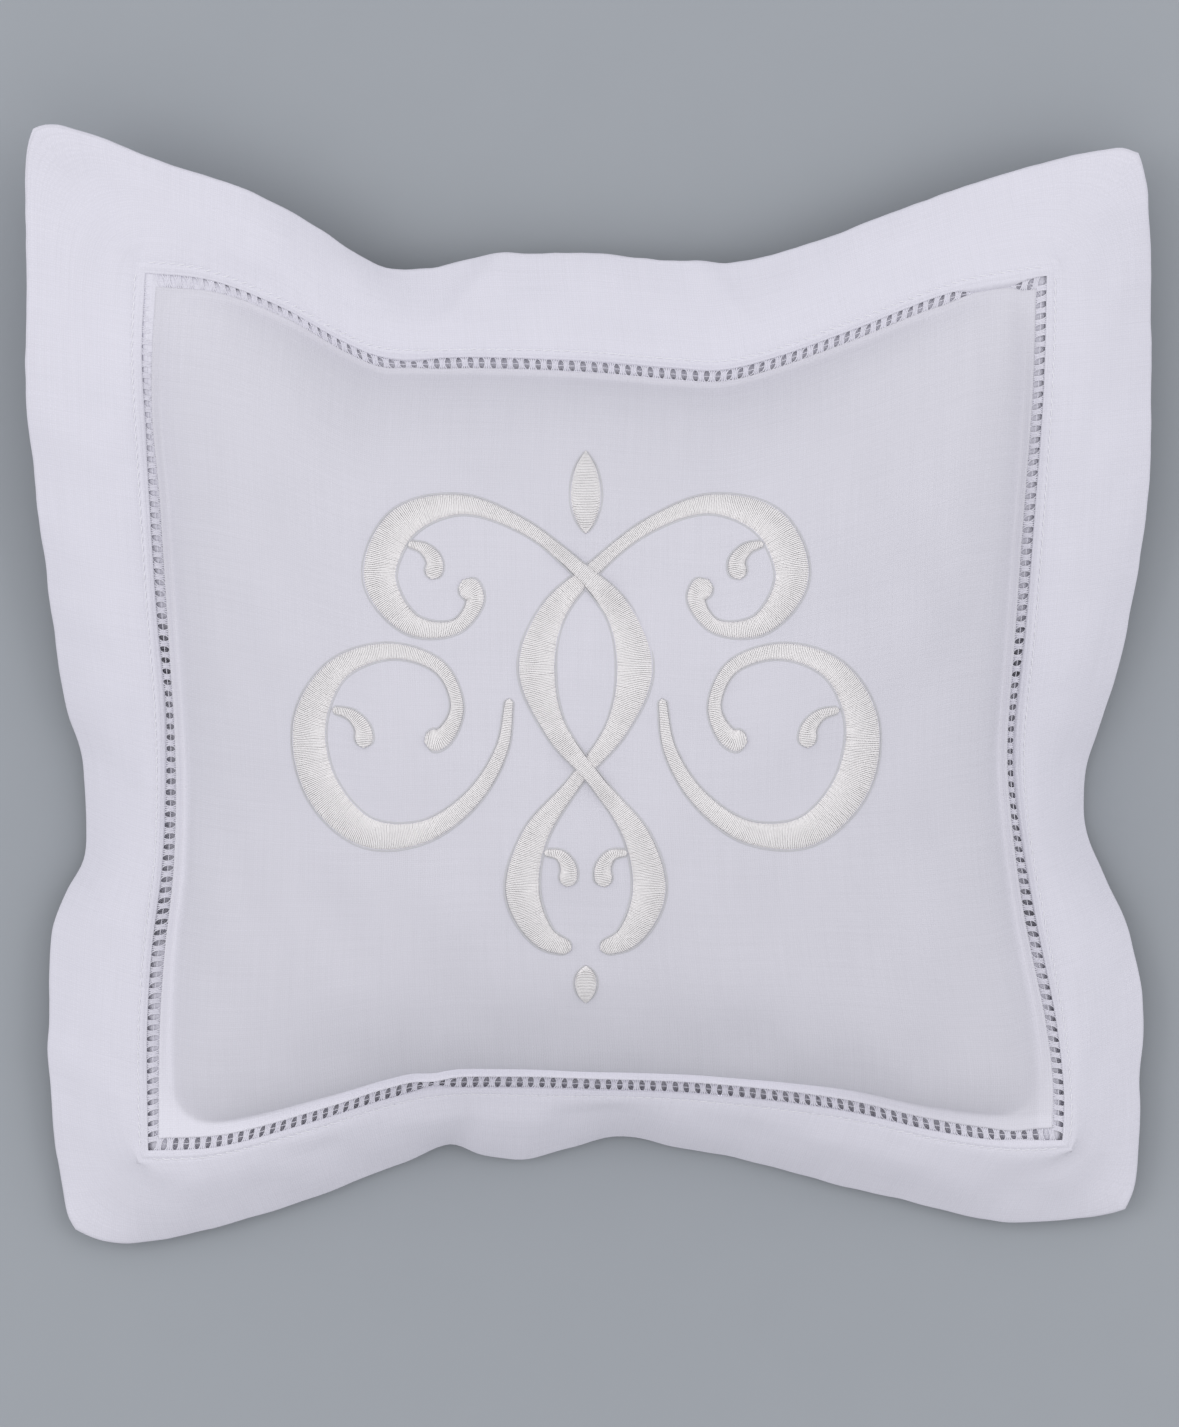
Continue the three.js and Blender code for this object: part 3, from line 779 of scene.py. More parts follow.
@dataclass
class PillowForm:
    """The lines and surfaces that every piece of the pillow follows, in millimetres.

    A place on the border is a side, t along it and m outward from the hemstitch's middle. A place on
    the front or the back is u across and v up, both from 0 to 1.
    """

    panel: float = PANEL
    flange: float = 29.0
    hemstitch: float = 2.6
    level_to: float = 2.1
    slope_power: float = 1.5

    # The front: its rise, the flat strip and the soft foot along each side, and where it hangs over
    front_rise: float = 36.0
    front_strip: dict[Side, float] = field(default_factory=lambda: {
        Side.TOP: 0.006, Side.RIGHT: 0.010, Side.BOTTOM: 0.0165, Side.LEFT: 0.010})
    toes: dict[Side, float] = field(default_factory=lambda: {
        Side.TOP: 0.035, Side.RIGHT: 0.012, Side.BOTTOM: 0.0, Side.LEFT: 0.014})
    fullness_power: tuple[float, float] = (2.3, 0.56)
    low_rounding: float = 3.0
    corner_radii: tuple[float, float] = (0.065, 0.02)
    overhang: float = 1.1
    overhang_reach: float = 0.022
    overhang_power: float = 0.7
    low_swell: float = 1.2
    low_swell_at: tuple[float, float] = (0.15, 0.08)

    # The back: its depth, its flat strip and its seam margin
    back_depth: float = 31.0
    back_strip: float = 0.04
    back_margin: float = 5.2
    flat_blend: float = 2.5
    outer_flap_edge: float = 0.32
    inner_flap_edge: float = 0.54
    overlap_depth: float = 2.0
    overlap_starts: tuple[float, float] = (-0.08, -0.04)
    overlap_stops: tuple[float, float] = (0.03, 0.08)

    # How far the back lies under the hemstitch, how far it rises towards it, and over which distances
    under_hem: float = 2.4
    hug: dict[Side, float] = field(default_factory=lambda: {
        Side.TOP: 1.20, Side.RIGHT: 1.40, Side.BOTTOM: 0.2, Side.LEFT: 1.42})
    hug_from: tuple[float, float] = (-2.2, -1.0)
    hug_to: tuple[float, float] = (1.8, 4.8)
    hug_ends: tuple[float, float] = (-4.7, -1.2)

    # The flange's softened corners: the grid they are kept on, and the widths where the cloth gives
    relief_stations: int = 128
    relief_widths: int = 30
    gives_from: tuple[float, float] = (4.5, 14.0)
    gives_to: tuple[float, float] = (21.0, 28.5)
    smoothing_along: float = 0.7
    hem: dict[Side, Line] = field(init=False)
    fold: dict[Side, Line] = field(init=False)
    relief: dict[Side, Array] = field(init=False)

    def __post_init__(self) -> None:
        """Draw the hem lines and the fold lines, and soften the flange's corners."""
        self.hem = {side: Line(points) for side, points in HEM_LINE.items()}
        self.fold = {side: Line(points) for side, points in OUTER_FOLD.items()}
        self.relief = {side: np.zeros((self.relief_stations + 1, self.relief_widths, 3)) for side in Side}
        self.relief = self._softened_corners()

    def _softened_corners(self, rounds: int = 60, reach: float = 34.0) -> dict[Side, Array]:
        """How far the flange's cloth moves where it turns a corner without a crease.

        Args:
            rounds: Rounds of smoothing.
            reach: How far from a corner the smoothing is felt, in millimetres.

        Returns:
            The shift at each station and width of a side.
        """
        widths = np.linspace(self.level_to, self.flange, self.relief_widths)
        t = np.linspace(0, 1, self.relief_stations + 1)
        grids = {side: self.border(side, *np.meshgrid(t, widths, indexing="ij")) for side in Side}
        ring = np.concatenate([grids[side][:-1] if side.clockwise else grids[side][:0:-1] for side in Side])
        loose = plateau(widths, self.gives_from, self.gives_to)[None, :, None]
        plain, along = ring.copy(), self.smoothing_along
        for _ in range(rounds):
            around = (np.roll(ring, 1, axis=0) + np.roll(ring, -1, axis=0)) / 2
            sideways = ring.copy()
            sideways[:, 1:-1] = (ring[:, 2:] + ring[:, :-2]) / 2
            ring = ring + (along * around + (1 - along) * sideways - ring) * loose
        moved, count, result = ring - plain, self.relief_stations, {}
        for number, side in enumerate(Side):
            rows = np.take(moved, np.arange(number * count, (number + 1) * count + 1), axis=0, mode="wrap")
            rows = rows if side.clockwise else rows[::-1]
            from_corner = np.minimum(t, 1 - t) * self.hem[side].length
            result[side] = rows * bell(from_corner, 0.0, reach)[:, None, None]
        return result

    def half_hemstitch(self, side: Side, t: Array) -> Array:
        """Half of the hemstitch's width, less where the cloth closes over the holes."""
        opening = np.ones_like(t)
        if side is Side.TOP:
            share, start, stop = CLOSED_STRETCH
            opening -= share * plateau(t, start, stop)
        for share, middle, reach in PUCKERS[side]:
            opening -= share * bell(t, middle, reach)
        return self.hemstitch / 2 * opening

    @staticmethod
    def fan(t: Array) -> Array:
        """How much longer lines of equal share are than the distance outward, towards the mitres."""
        return np.hypot(1.0, 1 - 2 * t)

    def border(self, side: Side, t: Array, m: Array) -> Array:
        """Points of the border.

        Args:
            side: The side of the panel.
            t: Shares along it.
            m: Distances outward from the hemstitch's middle.

        Returns:
            The points.
        """
        t, m = np.broadcast_arrays(np.asarray(t, dtype=float), np.asarray(m, dtype=float))
        hem, fold = self.hem[side].at(t), self.fold[side].at(t)
        out = unit((fold - hem) * np.array([1.0, 1.0, 0.0]))
        inner = hem + out * (np.minimum(m, self.level_to) * self.fan(t))[..., None]
        w = np.clip((m - self.level_to) / (self.flange - self.level_to), 0.0, None)
        points = inner + (fold - inner) * w[..., None]
        points[..., 2] = inner[..., 2] + (fold[..., 2] - inner[..., 2]) * w ** self.slope_power
        row = np.clip(t, 0, 1) * self.relief_stations
        column = np.clip(w, 0, 1) * (self.relief_widths - 1)
        return points + between_lines(self.relief[side], row, column)

    def patch(self, u: Array, v: Array, reach: Callable[[Side, Array], Array]) -> Array:
        """Points of the surface that spans the border lines.

        Args:
            u: Shares across.
            v: Shares up.
            reach: How far outside the hemstitch's middle each side's line lies at its shares.

        Returns:
            The points, rows up and columns across.
        """
        u, v = np.meshgrid(u, v)

        def edge(side: Side, t: Array) -> Array:
            """The border line of a side."""
            return self.border(side, t, reach(side, t))

        ends = np.array([0.0, 1.0])
        low, high = edge(Side.BOTTOM, ends), edge(Side.TOP, ends)
        blend = edge(Side.BOTTOM, u) * (1 - v)[..., None] + edge(Side.TOP, u) * v[..., None]
        blend += edge(Side.LEFT, v) * (1 - u)[..., None] + edge(Side.RIGHT, v) * u[..., None]
        u, v = u[..., None], v[..., None]
        blend -= (low[0] * (1 - u) + low[1] * u) * (1 - v)
        return blend - (high[0] * (1 - u) + high[1] * u) * v

    def fullness(
        self, share: Array, strips: tuple[Array | float, Array | float],
        toes: tuple[float, float] = (0.0, 0.0), low_rounding: float | None = None,
    ) -> Array:
        """How full the pillow is at a share of its width.

        Args:
            share: The share.
            strips: Width of the flat strip along the low and the high end.
            toes: How softly the rise starts at the low and the high end.
            low_rounding: How soon the low end levels off, where it differs from the high end.

        Returns:
            0 along the strip and 1 in the middle.
        """
        rounding, lift = self.fullness_power
        strip = np.where(share < 0.5, *strips)
        q = np.clip((np.minimum(share, 1 - share) - strip) / (0.5 - strip), 0.0, None)
        toe = np.where(share < 0.5, *toes)
        q = q * q / np.maximum(q + toe, 1e-9) * (1 + toe)
        rounding = np.where(share < 0.5, low_rounding or rounding, rounding)
        return (1 - (1 - q) ** rounding) ** lift

    def front_fullness(self, u: Array, v: Array) -> Array:
        """How far the front is lifted.

        Args:
            u: Shares across.
            v: Shares up.

        Returns:
            Numbers from 0 to 1, rows up and columns across.
        """
        strips, toes = self.front_strip, self.toes
        u, v = np.meshgrid(u, v)
        radius = np.where(v < 0.5, *self.corner_radii)

        def corner(share: Array, low: float, high: float) -> Array:
            """How much wider the strip is near its ends, where it turns a rounded corner."""
            inside = np.minimum(share, 1 - share) - np.where(share < 0.5, low, high)
            return radius - np.sqrt(radius ** 2 - np.clip(radius - inside, 0.0, radius) ** 2)

        bottom, top, left, right = (strips[side] for side in (Side.BOTTOM, Side.TOP, Side.LEFT, Side.RIGHT))
        wider = corner(u, left, right)
        up = self.fullness(
            v, (bottom + wider, top + wider), (toes[Side.BOTTOM], toes[Side.TOP]), self.low_rounding)
        wider = corner(v, bottom, top)
        return up * self.fullness(u, (left + wider, right + wider), (toes[Side.LEFT], toes[Side.RIGHT]))

    def front(self, u: Array, v: Array) -> Array:
        """The front's face over the stuffing, which hangs a little over the strip at the bottom.

        Args:
            u: Shares across.
            v: Shares up.

        Returns:
            The points, rows up and columns across.
        """
        points = self.patch(u, v, lambda side, t: -self.half_hemstitch(side, t))
        points[..., 2] += self.front_rise * self.front_fullness(u, v)
        risen = np.clip(v - self.front_strip[Side.BOTTOM], 0.0, None) / self.overhang_reach
        bulge = self.overhang * risen * np.exp(1 - risen)
        middle = np.clip(4 * u * (1 - u), 0.0, 1.0) ** self.overhang_power
        points[..., 1] -= np.outer(bulge, middle)
        points[..., 2] += np.outer(self.low_swell * bell(v, *self.low_swell_at), middle)
        return points

    def back(self, u: Array, v: Array) -> Array:
        """The back's outermost face, pressed flat where it rests.

        Args:
            u: Shares across.
            v: Shares up.

        Returns:
            The points, rows up and columns across.
        """
        points = self.patch(u, v, lambda side, t: np.full_like(t, self.back_margin))
        overlap = smoothstep(v - self.outer_flap_edge, *self.overlap_starts)
        overlap = overlap * (1 - smoothstep(v - self.inner_flap_edge, *self.overlap_stops))
        strips = (self.back_strip, self.back_strip)
        depth = self.back_depth * np.outer(self.fullness(v, strips), self.fullness(u, strips))
        z = points[..., 2] - self.under_hem - self.overlap_depth * overlap[:, None] - depth
        blended = (z + self.flat_blend) ** 2 / (4 * self.flat_blend)
        z = np.where(z < -self.flat_blend, 0.0, np.where(z < self.flat_blend, blended, z))
        points[..., 2] = z + self._lift_under_hemstitch(u, v)
        return points

    def _lift_under_hemstitch(self, u: Array, v: Array) -> Array:
        """How far the back rises to lie close under the hemstitch, at shares across and up."""
        def ridge(share: Array, low: float, high: float) -> tuple[Array, Array]:
            """The rise beside the low and the high end, and how far inside both ends it is, 0 to 1."""
            inside = np.minimum(share, 1 - share) * (self.panel + 2 * self.back_margin) - self.back_margin
            rise = plateau(inside, self.hug_from, self.hug_to)
            return rise * np.where(share < 0.5, low, high), smoothstep(inside, *self.hug_ends)

        across, inside_u = ridge(u, self.hug[Side.LEFT], self.hug[Side.RIGHT])
        up, inside_v = ridge(v, self.hug[Side.BOTTOM], self.hug[Side.TOP])
        return np.maximum(np.outer(inside_v, across), np.outer(up, inside_u))


def between_lines(grid: Array, row: Array, column: Array) -> Array:
    """A grid's values between its lines, by straight blending."""
    i = np.minimum(row.astype(int), grid.shape[0] - 2)
    j = np.minimum(column.astype(int), grid.shape[1] - 2)
    b, a = (row - i)[..., None], (column - j)[..., None]
    low = grid[i, j] * (1 - a) + grid[i, j + 1] * a
    high = grid[i + 1, j] * (1 - a) + grid[i + 1, j + 1] * a
    return low * (1 - b) + high * b


def shares_towards_edges(count: int, crowding: float = 0.55) -> Array:
    """Shares from 0 to 1 that stand closer together at both ends."""
    x = np.linspace(0, 1, count + 1)
    return (1 - crowding) * x + crowding * (0.5 - 0.5 * np.cos(math.pi * x))


# ---------------------------------------------------------------- stitches that follow a path


@dataclass
class StitchPath:
    """A line on the cloth with the directions across it and out of the cloth, in millimetres."""

    points: Array
    across: Array
    up: Array
    half_width: Array

    def mesh(self, padding: tuple[Array, Array] | None = None) -> bpy.types.Mesh:
        """The line as loose edges that carry its directions.

        Args:
            padding: Points and quads of a solid under the stitches, which comes along.

        Returns:
            The mesh, in metres.
        """
        count = len(self.points)
        points, quads = self.points, np.empty((0, 4), dtype=int)
        if padding is not None:
            points, quads = np.concatenate([points, padding[0]]), padding[1] + count
        edges = [(i, i + 1) for i in range(count - 1)]
        made = bpy.data.meshes.new("stitch_path")
        made.from_pydata((points * MM).tolist(), edges, quads.tolist())
        spare = len(points) - count
        vectors = {"across": self.across, "up": self.up}
        for label, values in vectors.items():
            column = np.concatenate([values, np.zeros((spare, 3))])
            made.attributes.new(label, "FLOAT_VECTOR", "POINT").data.foreach_set("vector", column.ravel())
        numbers = {"half_width": self.half_width * MM, "is_path": np.ones(count)}
        for label, values in numbers.items():
            column = np.concatenate([values, np.zeros(spare)])
            made.attributes.new(label, "FLOAT", "POINT").data.foreach_set("value", column)
        return made


class StitchTree:
    """A Geometry Nodes tree that lays stitches along a stitch path."""

    def __init__(self, name: str, sizes: Mapping[str, float], finish: Finish) -> None:
        """Open a tree.

        Args:
            name: The tree's name.
            sizes: Named inputs and their values, in metres where they are lengths.
            finish: What the stitches are made of.
        """
        self.group = bpy.data.node_groups.new(name, "GeometryNodeTree")
        self.finish = finish
        self.sizes = sizes
        interface = self.group.interface
        interface.new_socket("Path", in_out="INPUT", socket_type="NodeSocketGeometry")
        self.identifiers = {}
        for label in sizes:
            socket = interface.new_socket(label, in_out="INPUT", socket_type="NodeSocketFloat")
            self.identifiers[label] = socket.identifier
        interface.new_socket("Stitches", in_out="OUTPUT", socket_type="NodeSocketGeometry")
        self.graph = Graph(self.group)
        self.inputs = self.graph.add("NodeGroupInput")
        self.build()

    def build(self) -> None:
        """Lay out the tree's nodes."""
        raise NotImplementedError

    def named(self, label: str, kind: str = "FLOAT") -> Value:
        """One of the path's attributes."""
        settings = {"data_type": kind}
        return self.graph.add("GeometryNodeInputNamedAttribute", settings, {"Name": label})["Attribute"]

    def direction(self, label: str) -> Value:
        """One of the path's directions."""
        return self.named(label, "FLOAT_VECTOR")

    def _split(self) -> Added:
        """What came in, parted into the path and the padding."""
        return self.graph.add("GeometryNodeSeparateGeometry", {"domain": "POINT"}, {
            "Geometry": self.inputs["Path"], "Selection": self.named("is_path")})

    def path_curve(self) -> Value:
        """The path as a curve, without the padding."""
        return self.graph.add("GeometryNodeMeshToCurve", None, {"Mesh": self._split()["Selection"]})["Curve"]

    def padding(self) -> Value:
        """The solid that came along with the path."""
        return self._split()["Inverted"]

    def uneven(self, low: float, high: float, seed: int) -> Value:
        """A random number for each stitch."""
        return self.graph.add("FunctionNodeRandomValue", {"data_type": "FLOAT"}, {
            "Min": low, "Max": high, "Seed": seed})["Value"]

    def cord(self, curve: Value, radius: Value, sides: int = 6) -> Value:
        """A round thread along a whole curve."""
        graph = self.graph
        ring = graph.add("GeometryNodeCurvePrimitiveCircle", None, {"Resolution": sides, "Radius": radius})
        return graph.add("GeometryNodeCurveToMesh", None, {
            "Curve": curve, "Profile Curve": ring["Curve"], "Fill Caps": True})["Mesh"]

    def moved_path(self, offset: Value) -> Value:
        """The path as a curve, moved by an offset."""
        return self.graph.add("GeometryNodeSetPosition", None, {
            "Geometry": self.path_curve(), "Offset": offset})["Geometry"]

    def strand(
        self, segments: int, position: Callable[[Value], Value], radius: Value, sides: int = 4,
    ) -> Value:
        """A round thread along a short curve.

        Args:
            segments: Straight parts of the curve.
            position: Gives the place at a share of the thread's length.
            radius: The thread's radius.
            sides: Sides of the thread.

        Returns:
            The thread's mesh.
        """
        graph = self.graph
        line = graph.add("GeometryNodeCurvePrimitiveLine", None, {"End": (1.0, 0.0, 0.0)})["Curve"]
        line = graph.add("GeometryNodeResampleCurve", {"mode": "COUNT"}, {
            "Curve": line, "Count": segments + 1})["Curve"]
        share = graph.add("GeometryNodeSplineParameter")["Factor"]
        shaped = graph.add("GeometryNodeSetPosition", None, {
            "Geometry": line, "Position": position(share)})["Geometry"]
        return self.cord(shaped, radius, sides)

    def joined(self, parts: list[Value]) -> Value:
        """Several geometries as one."""
        return self.graph.add("GeometryNodeJoinGeometry", None, {"Geometry": parts})["Geometry"]

    def repeat(self, stitch: Value, scale: Value | Sequence[float], lead: str, jitter: float) -> Value:
        """Copies of a stitch along the path, a pitch apart.

        Args:
            stitch: The stitch, with Z out of the cloth.
            scale: The stitch's scale along its axes.
            lead: The stitch's axis that lies across the path.
            jitter: Uneven turning in the cloth, in radians.

        Returns:
            The instances.
        """
        graph = self.graph
        curve = graph.add("GeometryNodeResampleCurve", {"mode": "LENGTH"}, {
            "Curve": self.path_curve(), "Length": self.inputs["Pitch"]})["Curve"]
        turn = graph.add("FunctionNodeAxesToRotation", {"primary_axis": "Z", "secondary_axis": lead}, {
            "Primary Axis": self.direction("up"), "Secondary Axis": self.direction("across")})["Rotation"]
        slant = graph.add("FunctionNodeRandomValue", {"data_type": "FLOAT_VECTOR"}, {
            "Min": (0.0, 0.0, -jitter), "Max": (0.0, 0.0, jitter), "Seed": 3})["Value"]
        turn = graph.add("FunctionNodeRotateRotation", {"rotation_space": "LOCAL"}, {
            "Rotation": turn, "Rotate By": slant})["Rotation"]
        return graph.add("GeometryNodeInstanceOnPoints", None, {
            "Points": curve, "Instance": stitch, "Rotation": turn, "Scale": scale})["Instances"]

    def close(self, geometry: Value) -> None:
        """End the tree: plain mesh, one material."""
        graph = self.graph
        real = graph.add("GeometryNodeRealizeInstances", None, {"Geometry": geometry})["Geometry"]
        dressed = graph.add("GeometryNodeSetMaterial", None, {
            "Geometry": real, "Material": self.finish.material})["Geometry"]
        graph.add("NodeGroupOutput", None, {"Stitches": dressed})

    def sew(self, path: bpy.types.Mesh) -> bpy.types.Mesh:
        """Lay the stitches along a path and return them as a plain mesh."""
        carrier = placed("stitch_path", path)
        modifier = carrier.modifiers.new("stitches", "NODES")
        modifier.node_group = self.group
        for label, value in self.sizes.items():
            modifier[self.identifiers[label]] = value
        depsgraph = bpy.context.evaluated_depsgraph_get()
        mesh = bpy.data.meshes.new_from_object(carrier.evaluated_get(depsgraph), depsgraph=depsgraph)
        bpy.data.objects.remove(carrier)
        for label in ("across", "up", "half_width", "is_path"):
            if label in mesh.attributes:
                mesh.attributes.remove(mesh.attributes[label])
        return mesh


class LadderBars(StitchTree):
    """The threads left in a hemstitch, tied into bars, between two overcast edges.

    Bars are as long as the hemstitch is wide. A length of 1 is half of its width.
    """

    SPREAD = (-1.0, -0.34, 0.34, 1.0)
    HALF_LENGTH = 1.3
    ARCH = 0.5
    THICKNESS = (0.9, 1.12)
    JITTER = 0.09

    def build(self) -> None:
        """Bars of four strands that fan out at both ends, a fine thread through them, and the edges."""
        graph, inputs = self.graph, self.inputs
        wide, pinch, radius = inputs["Bar Half Width"], inputs["Pinch"], inputs["Strand Radius"]

        def strand_at(spread: float) -> Callable[[Value], Value]:
            """A strand's place: straight across, closer to the others in the middle."""
            def place(share: Value) -> Value:
                """The place at a share of its length."""
                y = share * (2 * self.HALF_LENGTH) - self.HALF_LENGTH
                square = y * y
                fan = pinch + (1.0 - pinch) * (square * 0.4 + square * square * 0.6)
                return graph.combine(wide * spread * fan, y, (1.0 - square) * radius * self.ARCH)
            return place

        strands = [self.strand(6, strand_at(spread), radius) for spread in self.SPREAD]
        size = graph.combine(self.uneven(*self.THICKNESS, 5), self.named("half_width"), 1.0)
        bars = self.repeat(self.joined(strands), size, "Y", self.JITTER)
        runner = self.cord(self.path_curve(), inputs["Thread Radius"])
        edges = [self.edge(side) for side in (-1.0, 1.0)]
        self.close(self.joined([bars, runner, *edges]))

    def edge(self, side: float) -> Value:
        """The overcast thread along one edge of the hemstitch."""
        out = self.graph.scaled(self.direction("across"), self.named("half_width") * side)
        return self.cord(self.moved_path(out), self.inputs["Edge Radius"])


class LockstitchRow(StitchTree):
    """A row of lockstitch: short threads that dip into the cloth at both ends."""

    HALF_LENGTH = 0.47
    RISE = 0.55
    DIP = 1.7
    JITTER = 0.05

    def build(self) -> None:
        """One low arch for each stitch."""
        graph, inputs = self.graph, self.inputs
        half, radius = inputs["Pitch"] * self.HALF_LENGTH, inputs["Thread Radius"]

        def place(share: Value) -> Value:
            """The place at a share of the stitch's length."""
            x = share * 2.0 - 1.0
            return graph.combine(half * x, 0.0, radius * (self.RISE - (x * x) * (x * x) * self.DIP))

        stitch = self.strand(6, place, radius, 5)
        self.close(self.repeat(stitch, (1.0, 1.0, 1.0), "Y", self.JITTER))


@dataclass(frozen=True)
class SatinArch:
    """The cross-section of a satin band: flat on top, steep at both edges, lower where it is narrow."""

    rise: float = 1.1
    sunk: float = 0.25
    narrowing: float = 0.6

    def at(self, x: Value | Array) -> Value | Array:
        """Height over the cloth from -1 to 1 across the band, in band heights."""
        square = x * x
        return (1.0 - square * square * square) * self.rise - self.sunk

    def height(self, full: Value | float, half: Value | Array) -> Value | Array:
        """A band's height where its half width is half."""
        return full * (half / (half + full * self.narrowing))


class SatinRow(StitchTree):
    """Satin stitch: threads side by side across a padded band."""

    ARCH = SatinArch()
    REACH = (0.985, 1.012)
    JITTER = 0.015

    def build(self) -> None:
        """One arched thread for each stitch, as wide as the band is there, over the padding."""
        graph, inputs = self.graph, self.inputs

        def place(share: Value) -> Value:
            """The place at a share of the thread's length."""
            x = share * 2.0 - 1.0
            return graph.combine(x, 0.0, self.ARCH.at(x))

        thread = self.strand(9, place, inputs["Thread Radius"])
        half = self.named("half_width")
        height = self.ARCH.height(inputs["Height"], half)
        size = graph.combine(half * self.uneven(*self.REACH, 8), 1.0, height)
        rows = self.repeat(thread, size, "X", self.JITTER)
        self.close(self.joined([rows, self.padding()]))


class EdgeShadowCord(StitchTree):
    """A thin dark grey cord along each edge of a satin band: painted shadow round the raised band."""

    def build(self) -> None:
        """A dark cord along each edge, sunk into the cloth: painted shadow."""
        graph, inputs = self.graph, self.inputs
        runs = []
        for side in (-1.0, 1.0):
            reach = (self.named("half_width") + inputs["Outset"]) * side
            out = graph.scaled(self.direction("across"), reach)
            down = graph.scaled(self.direction("up"), inputs["Lift"])
            runs.append(self.cord(self.moved_path(graph.vector("ADD", out, down)), inputs["Thread Radius"]))
        self.close(self.joined(runs))


# ---------------------------------------------------------------- the cover


FLANGE_RIPPLES = (Ripples(11, 46.0, 0.55), Ripples(12, 17.0, 0.18))
FLANGE_CREASES = (
    SoftCrease((-27.0, 93.0), 50.0, 16.0, 3.0, 1.5),
    SoftCrease((30.0, 92.0), 128.0, 13.0, 3.2, 1.0),
    SoftCrease((-112.0, 116.0), -40.0, 10.0, 5.0, -1.1),
    SoftCrease((112.0, -112.0), 48.0, 14.0, 5.0, 0.7),
)
FRONT_RIPPLES = Ripples(21, 70.0, 0.55)
FRONT_PUCKERS = Ripples(22, 24.0)
FOLD_RIPPLES = Ripples(5, 6.0, 0.12)
BACK_RIPPLES = Ripples(31, 38.0, 0.35)
FIBRE_LUMPS = Ripples(41, 20.0, 0.35)


